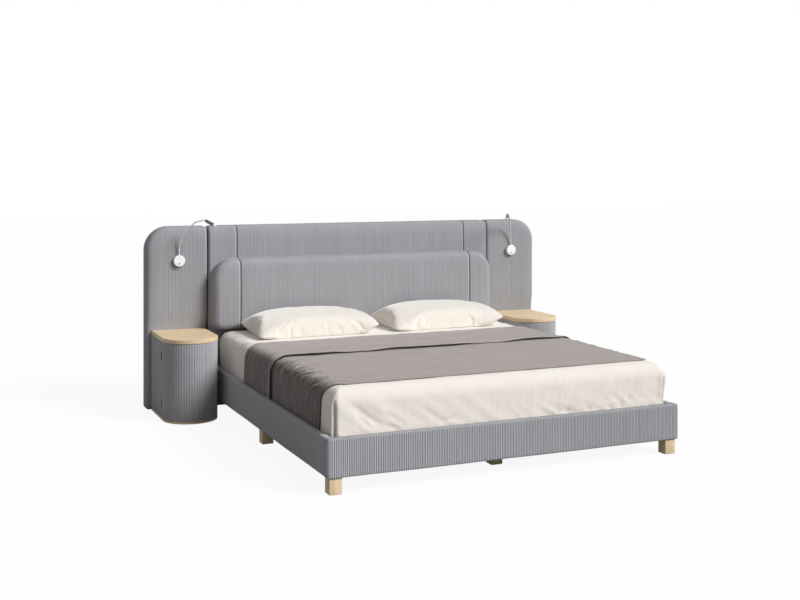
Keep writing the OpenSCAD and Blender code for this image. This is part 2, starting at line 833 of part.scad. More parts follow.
module stand_shelf() {
    color(oak) translate([0, 0, shelf_z]) linear_extrude(shelf_t) union() {
        translate([stand_x, round_y]) circle(r = shelf_front_r);
        translate([stand_x - shelf_front_r, round_y])
            square([2 * shelf_front_r, wing_y - stand_back_t - round_y]);
        translate([stand_x - stand_r + panel_t, side_front_y + shelf_set])
            square([stand_w - 2 * panel_t, carcass_d - stand_back_t - shelf_set]);
    }
}

module shelf_pins() {
    color(steel) for (side = [0, 1]) mirror([side, 0, 0])
        at_shelf_pins() translate([0, 0, shelf_hole - shelf_pin_l])
            cylinder(r = shelf_pin_r, h = shelf_pin_l);
}

module stand_bolts() {
    color(steel) for (side = [0, 1]) mirror([side, 0, 0]) at_stand_bolts() {
        translate([0, -stand_back_t, 0]) rotate([-90, 0, 0])
            cylinder(r = bolt_r, h = stand_back_t + wing_t - bolt_short);
        translate([0, -stand_back_t, 0]) rotate([90, 0, 0]) cylinder(r = stand_head_r, h = bolt_head_t);
    }
}

door_z = side_z + door_gap / 2;
door_h = side_h - door_gap;

// Inner ends of the pull's two posts
module at_pull_posts() {
    for (z = [-1, 1])
        translate([stand_x - stand_r + pull_seat, pull_y, pull_z + z * (pull_h / 2 - pull_r)])
            rotate([0, -90, 0]) children();
}

module door() {
    color(ribbed_grey) difference() {
        translate([0, 0, door_z]) linear_extrude(door_h) difference() {
            stand_plan(stand_r);
            stand_plan(stand_r - panel_t);
            translate([stand_x - stand_w, door_y]) square([2 * stand_w, 2 * stand_d]);
        }
        at_pull_posts() cylinder(r = pull_r + bolt_gap, h = pull_seat + pull_out);
    }
}

module door_pull() {
    color(steel) union() {
        at_pull_posts() cylinder(r = pull_r, h = pull_seat + pull_out - pull_r);
        translate([stand_x - stand_r - pull_out + pull_r, pull_y, pull_z - pull_h / 2])
            cylinder(r = pull_r, h = pull_h);
    }
}

knuckle_h = hinge_h / 3;

// One hinge's fixed half: leaf, outer knuckles and pin
module fixed_hinge() {
    union() {
        translate([-leaf_w - barrel_r, door_gap / 2 - leaf_t, -hinge_h / 2])
            cube([leaf_w, leaf_t, hinge_h]);
        for (z = [-hinge_h / 2, hinge_h / 2 - knuckle_h]) translate([0, 0, z]) {
            translate([-barrel_r - lap, door_gap / 2 - leaf_t, 0])
                cube([barrel_r, leaf_t, knuckle_h]);
            cylinder(r = barrel_r, h = knuckle_h);
        }
        translate([0, 0, -hinge_h / 2]) cylinder(r = pin_r, h = hinge_h);
    }
}

// One hinge's moving half: leaf and middle knuckle
module door_hinge() {
    h = knuckle_h - 2 * slide_gap;
    difference() {
        union() {
            translate([-leaf_w - barrel_r, -door_gap / 2, -hinge_h / 2]) cube([leaf_w, leaf_t, hinge_h]);
            translate([-barrel_r - lap, -door_gap / 2, -h / 2]) cube([barrel_r, leaf_t, h]);
            translate([0, 0, -h / 2]) cylinder(r = barrel_r, h = h);
        }
        translate([0, 0, -hinge_h]) cylinder(r = pin_r + turn_gap, h = 2 * hinge_h);
    }
}

module at_hinges() {
    for (z = [hinge_low, hinge_high]) translate([hinge_x, hinge_y, z]) children();
}

module fixed_hinges() {
    color(steel) at_hinges() fixed_hinge();
}

module door_hinges() {
    color(steel) at_hinges() door_hinge();
}

module left_stand_top() left_hand() stand_top();
module right_stand_top() stand_top();
module left_stand_base() left_hand() stand_base();
module right_stand_base() stand_base();
module left_stand_sides() left_hand() stand_sides();
module right_stand_sides() stand_sides();
module left_stand_back() left_hand() stand_back();
module right_stand_back() stand_back();
module left_stand_shelf() left_hand() stand_shelf();
module right_stand_shelf() stand_shelf();
module left_door() left_hand() door();
module right_door() door();
module left_door_pull() left_hand() door_pull();
module right_door_pull() door_pull();
module left_fixed_hinges() left_hand() fixed_hinges();
module right_fixed_hinges() fixed_hinges();
module left_door_hinges() left_hand() door_hinges();
module right_door_hinges() door_hinges();

// ---- Reading lamps ----

plate_r = hub_r - lamp_wall - slide_gap;
hole_w = button_w + 2 * slide_gap;
hole_h = button_h + 2 * slide_gap;
wall_in_y = disc_front_y + lamp_wall;

// Round-ended bar w wide, h high, from the plane y towards -Y
module stadium(w, h, t, y) {
    translate([lamp_x, y, lamp_z - button_drop]) rotate([90, 0, 0]) linear_extrude(t) union() {
        square([w - h, h], center = true);
        for (x = [-1, 1]) translate([x * (w - h) / 2, 0]) circle(r = h / 2);
    }
}

// Axis of the lamp's disc, pointing at the room
module on_lamp_axis(y) {
    translate([lamp_x, y, lamp_z]) rotate([90, 0, 0]) children();
}

module lamp_base() {
    color(white) difference() {
        union() {
            on_lamp_axis(disc_back_y) rotate_extrude() union() {
                square([disc_r - disc_edge_r, disc_t]);
                square([disc_r, disc_t - disc_edge_r]);
                translate([disc_r - disc_edge_r, disc_t - disc_edge_r]) circle(r = disc_edge_r);
            }
            on_lamp_axis(wing_y) cylinder(r = hub_r, h = hub_d + lap);
        }
        on_lamp_axis(wing_y + lap) cylinder(r = hub_r - lamp_wall, h = hub_d + disc_t - lamp_wall + lap);
        on_lamp_axis(disc_back_y - lamp_wall) cylinder(r = disc_r - lamp_wall, h = disc_t - 2 * lamp_wall);
        translate([lamp_x, neck_y, rim_z - collar_l - lap])
            cylinder(r = collar_r + turn_gap, h = collar_l + 2 * lap);
        stadium(hole_w, hole_h, lamp_wall + 2 * lap, wall_in_y + lap);
    }
}

module lamp_button() {
    color(dark) union() {
        stadium(button_w, button_h, lamp_wall + slide_gap + button_out, wall_in_y + slide_gap);
        stadium(hole_w + 2 * flange_rim, hole_h + 2 * flange_rim, flange_t,
            wall_in_y + slide_gap + flange_t);
    }
}

// Mounting plate with the post that carries the switch behind the button
module lamp_plate() {
    front = wall_in_y + slide_gap + flange_t + button_travel + slide_gap;
    union() {
        on_lamp_axis(wing_y) cylinder(r = plate_r, h = lamp_plate_t);
        span([lamp_x - post_w / 2, front, lamp_z - post_top - post_h],
            [lamp_x + post_w / 2, wing_y - lap, lamp_z - post_top]);
        span([lamp_x - post_w / 2, front, lamp_z - button_drop - switch_h / 2],
            [lamp_x + post_w / 2, front + switch_d, lamp_z - post_top]);
    }
}

module lamp_plates() {
    color(dark) for (side = [0, 1]) mirror([side, 0, 0]) lamp_plate();
}

module lamp_collar() {
    color(steel) translate([lamp_x, neck_y, 0]) difference() {
        union() {
            translate([0, 0, rim_z - collar_l]) cylinder(r = collar_r, h = collar_l + lap);
            translate([0, 0, rim_z + slide_gap])
                cylinder(r = collar_r + collar_rim, h = collar_h - slide_gap);
        }
        translate([0, 0, ball_z]) sphere(r = ball_cup_r);
    }
}

// Frame of the arm: X runs out along the arm, Z up, from the lower ball
module on_arm() {
    translate([lamp_x, neck_y, ball_z]) rotate([0, 0, 180 + arm_turn]) children();
}

module lamp_neck() {
    color(steel) on_arm() union() {
        sphere(r = ball_r);
        translate([neck_bend_r, 0, 0]) rotate([90, 0, 0]) rotate([0, 0, 90])
            rotate_extrude(angle = 90) translate([neck_bend_r, 0]) circle(r = neck_r);
        translate([neck_bend_r, 0, neck_bend_r]) sphere(r = ball_r);
    }
}

// Frame of the lamp head: X runs along the head, from the upper ball
module on_head() {
    on_arm() translate([neck_bend_r, 0, neck_bend_r]) rotate([0, lamp_head_tilt, 0]) children();
}

module lamp_head() {
    color(steel) on_head() difference() {
        translate([ball_up, 0, 0]) rotate([0, 90, 0]) cylinder(r = lamp_head_r, h = lamp_head_l - lens_l);
        sphere(r = ball_cup_r);
    }
}

module lamp_lens() {
    color(white) on_head() translate([ball_up + lamp_head_l - lens_l, 0, 0]) rotate([0, 90, 0])
        cylinder(r = lamp_head_r - lens_step, h = lens_l);
}

module left_lamp_base() left_hand() lamp_base();
module right_lamp_base() lamp_base();
module left_lamp_button() left_hand() lamp_button();
module right_lamp_button() lamp_button();
module left_lamp_collar() left_hand() lamp_collar();
module right_lamp_collar() lamp_collar();
module left_lamp_neck() left_hand() lamp_neck();
module right_lamp_neck() lamp_neck();
module left_lamp_head() left_hand() lamp_head();
module right_lamp_head() lamp_head();
module left_lamp_lens() left_hand() lamp_lens();
module right_lamp_lens() lamp_lens();

// ---- Mattress and bedding ----

module mattress_form() {
    translate([0, cover_mid_y, slat_top]) padded(mattress_w, mattress_l,
        [for (k = [0:3]) mattress_corner_r], mattress_h, mattress_edge_r);
}

module mattress() {
    color("whitesmoke") mattress_form();
}

module bed_cover() {
    color(cream) difference() {
        translate([0, cover_mid_y, slat_top]) padded(cover_w, cover_l,
            [for (k = [0:3]) cover_corner_r], mattress_h + cover_top_t, cover_edge_r);
        mattress_form();
    }
}

// Section of the throw across the bed, grown outwards by g: points [x, z] from left to right
function throw_arch(g) =
    let (
        x = cover_w / 2 - cover_edge_r,
        z = cover_top - cover_edge_r,
        r = cover_edge_r + g,
        low = rail_top - throw_tuck
    )
    concat(
        [for (s = [0:3]) [-x - r, low + (z - low) * s / 4]],
        [for (i = [0:arc_n]) [-x - r * cos(90 * i / arc_n), z + r * sin(90 * i / arc_n)]],
        [for (s = [1:5]) [-x + 2 * x * s / 6, z + r]],
        [for (i = [0:arc_n]) [x + r * sin(90 * i / arc_n), z + r * cos(90 * i / arc_n)]],
        [for (s = [3:-1:0]) [x + r, low + (z - low) * s / 4]]
    );

// Distances of the throw's sections from its front edge, and the layers there
throw_hem = 4;
single_rows = 8;
double_rows = 4;
throw_rows = concat(
    [for (s = [0:single_rows]) [throw_single_l * s / single_rows, 1]],
    [[throw_single_l + throw_hem, 2]],
    [for (s = [1:double_rows]) [throw_single_l + throw_double_l * s / double_rows, 2]]
);

// Soft waves in the throw: their height, and their turn in degrees along and across the bed
wave_h = 0.9;
wave_along = 0.8;
wave_across = 60;

module throw() {
    front = cover_front + throw_front;
    color(mauve) between(
        [for (row = throw_rows)
            let (arch = throw_arch(soft_gap + throw_t * row[1]))
            [for (j = [0:len(arch) - 1])
                let (
                    p = arch[j],
                    wave = wave_h * sin(row[0] * wave_along + j * wave_across)
                )
                [p[0] + (p[1] < cover_top - cover_edge_r ? sign(p[0]) * wave : 0),
                    front + row[0],
                    p[1] + (p[1] > cover_top ? wave : 0)]]],
        [for (row = throw_rows)
            [for (p = throw_arch(soft_gap)) [p[0], front + row[0], p[1]]]]
    );
}

pillow_x = pillow_gap / 2 + pillow_l / 2;
pillow_back_y = cushion_y - pillow_back;
pillow_seat_z = cover_top + soft_gap;
// Steps along and across a pillow
pillow_n = 12;
pillow_m = 9;
// Thickness of the seam, and the share by which long and short edges draw in between the corners
pillow_seam_t = 4;
draw_long = 0.05;
draw_short = 0.08;
// Powers that shape the swell: along, across, and towards the seam
swell_long = 2.6;
swell_short = 2.2;
swell_edge = 0.62;

// Middle of the pillow's body at u along and v across, both from -1 to 1
function pillow_plan(u, v) = [
    pillow_l / 2 * u * (1 - draw_long * pow(u, 4) * (1 - v * v)),
    pillow_w / 2 * v * (1 - draw_short * pow(v, 4) * (1 - u * u)),
    pillow_seam_z + pillow_rise * v / 2
];

// Half of the pillow's thickness there
function pillow_half(u, v) =
    pillow_seam_t / 2 + (pillow_t - pillow_seam_z - pillow_seam_t / 2)
        * pow(max(1 - pow(abs(u), swell_long), 0), swell_edge)
        * pow(max(1 - pow(abs(v), swell_short), 0), swell_edge);

module pillow() {
    us = [for (i = [0:pillow_n]) -cos(180 * i / pillow_n)];
    vs = [for (j = [0:pillow_m]) -cos(180 * j / pillow_m)];
    color(cream) translate([pillow_x, pillow_back_y - pillow_w / 2, pillow_seat_z])
        between(
            [for (v = vs) [for (u = us) pillow_plan(u, v) + [0, 0, pillow_half(u, v)]]],
            [for (v = vs) [for (u = us)
                let (p = pillow_plan(u, v))
                [p[0], p[1], max(p[2] - pillow_half(u, v), 0)]]]
        );
}

module left_pillow() left_hand() pillow();
module right_pillow() pillow();

left_side_rail();
right_side_rail();
footboard();
head_rail();
centre_beam();
slats();
slat_battens();
corner_brackets();
frame_bolts();
front_legs();
mid_legs();
beam_legs();
left_wing_board();
left_wing_pad();
right_wing_board();
right_wing_pad();
centre_board();
centre_pad();
cushion_board();
cushion_pad();
join_plates();
left_stand_top();
left_stand_base();
left_stand_sides();
left_stand_back();
left_stand_shelf();
left_door();
left_door_pull();
left_fixed_hinges();
left_door_hinges();
right_stand_top();
right_stand_base();
right_stand_sides();
right_stand_back();
right_stand_shelf();
right_door();
right_door_pull();
right_fixed_hinges();
right_door_hinges();
shelf_pins();
stand_bolts();
left_lamp_base();
left_lamp_button();
left_lamp_collar();
left_lamp_neck();
left_lamp_head();
left_lamp_lens();
right_lamp_base();
right_lamp_button();
right_lamp_collar();
right_lamp_neck();
right_lamp_head();
right_lamp_lens();
lamp_plates();
mattress();
bed_cover();
throw();
left_pillow();
right_pillow();
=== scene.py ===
# Looks of the ribbed bed with its two nightstands and reading lamps.
# Metres; X runs along the headboard, Y towards it, Z up.
import math

import bpy
import numpy as np
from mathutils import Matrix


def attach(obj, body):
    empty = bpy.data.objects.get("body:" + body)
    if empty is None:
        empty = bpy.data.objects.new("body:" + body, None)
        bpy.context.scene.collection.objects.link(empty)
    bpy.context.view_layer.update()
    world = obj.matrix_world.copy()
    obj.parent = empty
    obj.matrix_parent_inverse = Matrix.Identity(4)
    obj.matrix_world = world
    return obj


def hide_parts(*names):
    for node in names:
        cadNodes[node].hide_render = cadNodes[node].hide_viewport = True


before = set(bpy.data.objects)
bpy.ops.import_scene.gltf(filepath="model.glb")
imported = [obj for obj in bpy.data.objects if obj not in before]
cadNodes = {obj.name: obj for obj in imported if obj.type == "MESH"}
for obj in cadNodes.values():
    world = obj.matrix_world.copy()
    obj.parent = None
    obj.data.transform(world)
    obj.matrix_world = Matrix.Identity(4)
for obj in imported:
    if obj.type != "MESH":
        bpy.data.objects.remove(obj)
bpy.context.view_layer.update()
rootBody = "frame"
sides = {"left": -1, "right": 1}
scene = bpy.context.scene
join = np.concatenate
spread = np.broadcast_to


def addObject(name, data):
    # a new object of the scene, at the origin
    item = bpy.data.objects.new(name, data)
    scene.collection.objects.link(item)
    return item


view = {
    "place": (-2.7225, -5.935, 1.4807),
    "turn": -23.677,  # degrees round Z
    "lens": 51.17,
    "sensor": 36.0,
    "shiftY": -0.1651,
}
cameraData = bpy.data.cameras.new("camera")
cameraData.lens = view["lens"]
cameraData.sensor_width = view["sensor"]
cameraData.shift_y = view["shiftY"]
camera = addObject("camera", cameraData)
camera.location = view["place"]
camera.rotation_euler = (math.pi / 2, 0, math.radians(view["turn"]))
scene.camera = camera
print("camera set")


class Wire:
    # one output of a node; a sum written on it adds Math nodes
    def __init__(self, finish, socket):
        self.finish = finish
        self.socket = socket

    def calc(self, kind, other=0.0, swap=False, clamp=False):
        a, b = (other, self) if swap else (self, other)
        settings = {"operation": kind, "use_clamp": clamp}
        return self.finish.add("Math", settings, {0: a, 1: b})

    def __add__(self, other):
        return self.calc("ADD", other)

    def __mul__(self, other):
        return self.calc("MULTIPLY", other)

    def __sub__(self, other):
        return self.calc("SUBTRACT", other)

    def __rsub__(self, other):
        return self.calc("SUBTRACT", other, True)

    def clamped(self):
        return self.calc("ADD", clamp=True)

    __radd__ = __add__
    __rmul__ = __mul__


class Finish:
    # a material or the world, built node by node
    def __init__(self, name, world=False):
        if world:
            self.data = bpy.data.worlds.new(name)
            scene.world = self.data
        else:
            self.data = bpy.data.materials.new(name)
        self.data.use_nodes = True
        self.tree = self.data.node_tree
        self.tree.nodes.clear()

    def add(self, kind, settings=None, sockets=None, out=0):
        node = self.tree.nodes.new("ShaderNode" + kind)
        for key, value in (settings or {}).items():
            setattr(node, key, value)
        for key, value in (sockets or {}).items():
            if isinstance(value, Wire):
                self.tree.links.new(value.socket, node.inputs[key])
            else:
                node.inputs[key].default_value = value
        return Wire(self, node.outputs[out]) if len(node.outputs) else None

    def noise(self, scale, stretch=(1, 1, 1), detail=2.0, rough=0.5, warp=0.0):
        place = self.add("TexCoord", out=3)
        place = self.add("Mapping", None, {0: place, 3: stretch})
        sockets = {"Vector": place, "Scale": scale, "Detail": detail,
                   "Roughness": rough, "Distortion": warp}
        return self.add("TexNoise", None, sockets)

    def attribute(self, name):
        return self.add("Attribute", {"attribute_name": name}, out=2)

    def mix(self, share, first, second, kind="MIX"):
        pair = [c if isinstance(c, Wire) else (*c, 1) for c in (first, second)]
        settings = {"data_type": "RGBA", "blend_type": kind}
        return self.add("Mix", settings, {0: share, 6: pair[0], 7: pair[1]}, 2)

    def shaded(self, colour, shade):
        grey = self.add("CombineColor", None, {0: shade, 1: shade, 2: shade})
        return self.mix(1.0, colour, grey, "MULTIPLY")

    def seenRays(self):
        # 1 for camera, mirror and glass rays, 0 for the light that surfaces gather
        path = self.add("LightPath").socket.node.outputs
        rays = [Wire(self, path[f"Is {kind} Ray"]) for kind in ("Camera", "Glossy", "Transmission")]
        return (rays[0] + rays[1] + rays[2]).clamped()

    def surface(self, colour, rough, bump, more):
        # bump holds its height, distance and strength; more holds the surface's other sockets
        normal = self.add("Bump", None, dict(zip(("Height", "Distance", "Strength"), bump)))
        sockets = {"Base Color": colour, "Roughness": rough, "Normal": normal, **more}
        self.add("OutputMaterial", None, {0: self.add("BsdfPrincipled", None, sockets)})
        return self.data

    def cloth(self, colour, rough, bump, sheen, sheenRough, tint=(1, 1, 1)):
        return self.surface(colour, rough, bump, {
            "Specular IOR Level": 0.2, "Sheen Weight": sheen, "Sheen Roughness": sheenRough,
            "Sheen Tint": (*tint, 1)})


def linear(red, green, blue):
    # a screen colour from 0 to 255 as the light it stands for
    shares = np.array([red, green, blue]) / 255
    light = np.where(shares > 0.04045, ((shares + 0.055) / 1.055) ** 2.4, shares / 12.92)
    return tuple(float(c) for c in light)


# groove is the crest colour darkened as painted shade for the hollows between the ribs
ribCloth = {"crest": (192, 192, 197), "groove": (90, 90, 94), "cloud": 0.12, "tone": 0.025,
            "nap": 900, "sheen": 0.04, "sheenRough": 0.3}


def makeRibCloth():
    # a pale crest and a groove darkened with painted shade on each rib, a tone of its own per rib, and a
    # short nap
    f = Finish("ribbedFabric")
    cloud = f.noise(5.5, (1, 1, 0.55), 3)
    nap = f.noise(ribCloth["nap"], (1, 1, 0.25), 3, 0.6)
    streak = f.noise(120, (1, 1, 0.03), 2)
    # the crest attribute carries the painted shade in the grooves and seams and the painted highlight on
    # the seams' lips
    lift = (f.attribute("crest") + 0.35 * (nap - 0.5) + 0.22 * (streak - 0.5)).clamped()
    colour = f.mix(lift, linear(*ribCloth["groove"]), linear(*ribCloth["crest"]))
    shade = 1 - ribCloth["cloud"] * cloud + ribCloth["tone"] * f.attribute("tone")
    return f.cloth(f.shaded(colour, shade), 0.93 - 0.08 * nap, (nap, 0.0006, 0.6),
                   ribCloth["sheen"], ribCloth["sheenRough"])


def makeCotton(name, colour, dark, weave=520.0, sheen=0.1, sheenRough=0.5):
    # crossed threads with slubs, under a slow cloud of tone
    f = Finish(name)
    cloud = f.noise(7, detail=3)
    thread = f.noise(weave, (1, 0.3, 1), 2) * 0.5 + f.noise(weave, (0.3, 1, 1), 2) * 0.5
    slub = f.noise(60, (1, 0.1, 0.1), 2)
    share = (0.35 * cloud + 0.5 * thread + 0.3 * slub - 0.2).clamped()
    return f.cloth(f.mix(share, linear(*colour), linear(*dark)), 0.9 - 0.08 * thread,
                   (thread + 0.6 * slub, 0.0005, 0.5), sheen, sheenRough)


# side is the top colour with painted shade, for the hanging sides
throwCloth = {"top": (156, 147, 144), "side": (82, 75, 72), "sheen": 0.6, "sheenRough": 0.4,
              "tint": (1, 0.93, 0.91)}


def makeThrowCloth():
    # a brushed pile, pale on top and darker down the hanging sides as painted shade, with a painted
    # highlight on wrinkle ridges
    f = Finish("throwCloth")
    pile = f.noise(420, (1, 0.4, 1), 3, 0.6)
    cloud = f.noise(6, detail=3)
    brushed = f.noise(28, (0.25, 1, 1), 3)
    # the fall attribute carries that painted shade and highlight
    share = (f.attribute("fall") + 0.25 * (cloud - 0.5) + 0.2 * (brushed - 0.5)).clamped()
    colour = f.mix(share, linear(*throwCloth["top"]), linear(*throwCloth["side"]))
    return f.cloth(f.shaded(colour, 0.94 + 0.12 * pile), 0.9 - 0.08 * pile,
                   (pile + 0.5 * brushed, 0.0005, 0.5), throwCloth["sheen"], throwCloth["sheenRough"],
                   throwCloth["tint"])


def makeWood(name, along, light, dark, gloss=0.5):
    # fine rings drawn out along one axis, with pores and a slow change of tone
    f = Finish(name)
    stretch = [9.0, 9.0, 9.0]
    stretch["xyz".index(along)] = 0.7
    ring = f.noise(3.2, tuple(stretch), 4, 0.55, 1.2)
    band = (ring * 22.0).calc("SINE") * 0.5 + 0.5
    stretch = [90.0, 90.0, 90.0]
    stretch["xyz".index(along)] = 2.5
    pore = f.noise(3.0, tuple(stretch), 3, 0.6)
    cloud = f.noise(2.4, detail=2)
    share = (0.45 * band + 0.7 * pore + 0.3 * cloud - 0.3).clamped()
    return f.surface(f.mix(share, linear(*light), linear(*dark)), gloss + 0.18 * pore,
                     (pore + 0.4 * band, 0.0004, 0.35), {"Specular IOR Level": 0.35})


def makeMetal(name, colour, rough):
    f = Finish(name)
    scratch = f.noise(400.0, (1, 1, 0.08), 3, 0.6)
    cloud = f.noise(30, detail=2)
    share = (0.5 * scratch + 0.3 * cloud - 0.15).clamped()
    dim = tuple(0.8 * c for c in linear(*colour))
    return f.surface(f.mix(share, linear(*colour), dim), rough + 0.14 * scratch,
                     (scratch, 0.0001, 0.3), {"Metallic": 1.0})


def makePlastic(name, colour, rough, coat=0.0):
    f = Finish(name)
    pebble = f.noise(1500, detail=2)
    cloud = f.noise(25, detail=2)
    dim = tuple(0.93 * c for c in linear(*colour))
    return f.surface(f.mix(cloud, linear(*colour), dim), rough + 0.06 * cloud,
                     (pebble, 0.00008, 0.25), {"Coat Weight": coat, "Coat Roughness": 0.08})


oak = {"light": (233, 211, 177), "dark": (202, 176, 139)}
pine = {"light": (222, 198, 156), "dark": (190, 158, 112)}
finishes = {
    "ribbed": makeRibCloth(),
    "cream": makeCotton("creamCotton", (237, 230, 221), (224, 215, 203), 520.0, 0.8, 0.6),
    "throw": makeThrowCloth(),
    "ticking": makeCotton("mattressFabric", (240, 240, 238), (214, 214, 212), 300.0),
    "steel": makeMetal("steel", (178, 178, 182), 0.3),
    "darkSteel": makeMetal("darkSteel", (118, 119, 123), 0.5),
    "pullMetal": makeMetal("pullMetal", (92, 92, 96), 0.25),
    "satinMetal": makeMetal("satinLampMetal", (205, 205, 208), 0.3),
    "darkMetal": makeMetal("darkLampMetal", (96, 96, 100), 0.2),
    "whitePlastic": makePlastic("whitePlastic", (255, 255, 255), 0.22, 0.9),
    "darkPlastic": makePlastic("darkPlastic", (44, 44, 48), 0.4),
    "lensPlastic": makePlastic("lens", (250, 249, 244), 0.3, 0.4),
}
for axis in "xyz":
    finishes["oak" + axis.upper()] = makeWood("oakAlong" + axis.upper(), axis, **oak)
    finishes["pine" + axis.upper()] = makeWood("pineAlong" + axis.upper(), axis, **pine, gloss=0.6)
print("finishes made")


def gridFaces(rows, cols, first=0):
    # quads of a grid whose points run row by row
    i, j = np.meshgrid(np.arange(rows - 1), np.arange(cols - 1), indexing="ij")
    a = (first + i * cols + j).ravel()
    return np.stack([a, a + 1, a + cols + 1, a + cols], 1)


def buildPiece(name, points, faces, finish, attributes=None, body=rootBody, weld=0.0,
               caps=()):
    # Points and quads become a mesh object that rides on a body. Points closer than the weld are
    # joined; a quad left with a doubled corner turns into a triangle; a cap is one flat face.
    points = np.asarray(points, float).reshape(-1, 3)
    faces = np.asarray(faces, int)
    values = {key: np.asarray(value, float).ravel() for key, value in (attributes or {}).items()}
    if weld:
        key = np.round(points / weld).astype(np.int64)
        _, keep, back = np.unique(key, axis=0, return_index=True, return_inverse=True)
        back = back.ravel()
        points = points[keep]
        faces = back[faces]
        caps = [back[cap] for cap in caps]
        values = {key: value[keep] for key, value in values.items()}
    doubled = faces == np.roll(faces, 1, 1)
    whole, three = doubled.sum(1) == 0, doubled.sum(1) == 1
    loops = join([faces[whole].ravel(), faces[three][~doubled[three]], *caps])
    sizes = np.repeat([4, 3, *map(len, caps)], [whole.sum(), three.sum(), *[1] * len(caps)])
    mesh = bpy.data.meshes.new(name)
    mesh.vertices.add(len(points))
    mesh.vertices.foreach_set("co", points.ravel())
    mesh.loops.add(len(loops))
    mesh.loops.foreach_set("vertex_index", loops.astype(np.int32))
    mesh.polygons.add(len(sizes))
    mesh.polygons.foreach_set("loop_start", (np.cumsum(sizes) - sizes).astype(np.int32))
    mesh.polygons.foreach_set("use_smooth", sizes < 5)
    mesh.update(calc_edges=True)
    mesh.validate()
    for key, value in values.items():
        layer = mesh.attributes.new(key, "FLOAT", "POINT")
        layer.data.foreach_set("value", value.astype(np.float32))
    mesh.materials.append(finishes[finish])
    piece = addObject(name, mesh)
    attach(piece, body)
    return piece


def ripples(x, y, seed, count, low, high):
    # sum of sine waves of random heading whose lengths run from low to high, scaled to about -1..1
    rng = np.random.default_rng(seed)
    total = np.zeros(np.broadcast(x, y).shape)
    for k in range(count):
        heading = rng.uniform(0, math.pi)
        length = low * (high / low) ** rng.random()
        turn = 2 * math.pi / length
        total += np.sin(turn * (x * math.cos(heading) + y * math.sin(heading)) + rng.uniform(0, 6.28))
    return total / math.sqrt(count)


def uneven(spec, x, y):
    # a depth times one plus ripples; spec holds the depth, then the ripples' four values
    return spec[0] * (1 + ripples(x, y, *spec[1:]))


def smoothStep(x, low, high):
    t = np.clip((x - low) / (high - low), 0, 1)
    return t * t * (3 - 2 * t)


def hump(x, width):
    # a rounded hump of height 1 that dies away beyond its width
    return np.exp(-((x / width) ** 2))


def quarter(count):
    # angles of a quarter turn
    return np.linspace(0, math.pi / 2, count)


ribs = {
    "pitch": 0.0088,  # width of one rib
    "standPitch": 0.0098,
    "uneven": 0.14,  # share by which the widths differ
    "shares": (0.0, 0.22, 0.5, 0.78),  # places of the samples on one rib
    "levels": (0.0, 0.82, 1.0, 0.82),  # height of the rib there
    "ends": 0.006,  # over this length the ribs on a side wall start and end
}


def ribColumns(low, high, pitch, seed):
    # sample places along a run of slightly uneven ribs, the crest value there and each rib's tone
    rng = np.random.default_rng(seed)
    count = max(round((high - low) / pitch), 1)
    widths = 1 + ribs["uneven"] * rng.uniform(-1, 1, count)
    widths = widths * (high - low) / widths.sum()
    starts = low + np.cumsum(widths) - widths
    places = (starts[:, None] + widths[:, None] * np.array(ribs["shares"])).ravel()
    levels = np.tile(ribs["levels"], count)
    tones = np.repeat(rng.uniform(-1, 1, count), len(ribs["shares"]))
    return np.append(places, high), np.append(levels, levels[0]), np.append(tones, tones[-1])


def endRadii(u, form):
    # radii of the nearer corners at the low and at the high end
    lowLeft, lowRight, topRight, topLeft = form["radii"]
    return np.where(u < 0, lowLeft, lowRight), np.where(u < 0, topLeft, topRight)


def outlineDepth(u, v, form):
    # distance in from a rounded rectangle's outline, and the inward heading there
    low, top = endRadii(u, form)
    r = np.where(v < 0, low, top)
    qu = np.abs(u) - (form["w"] / 2 - r)
    qv = np.abs(v) - (form["h"] / 2 - r)
    corner = (qu > 0) & (qv > 0)
    length = np.maximum(np.hypot(np.maximum(qu, 0), np.maximum(qv, 0)), 1e-9)
    inside = r - np.where(corner, length, np.maximum(qu, qv))
    gu = np.where(corner, qu / length, (qu > qv) * 1.0) * -np.sign(u)
    gv = np.where(corner, qv / length, (qu <= qv) * 1.0) * -np.sign(v)
    return np.maximum(inside, 0), gu, gv


def endHeights(u, form):
    # height of the outline's low and high end over the middle at each u
    for r in endRadii(u, form):
        over = np.maximum(np.abs(u) - (form["w"] / 2 - r), 0)
        yield form["h"] / 2 - r + np.sqrt(np.maximum(r * r - over * over, 0))


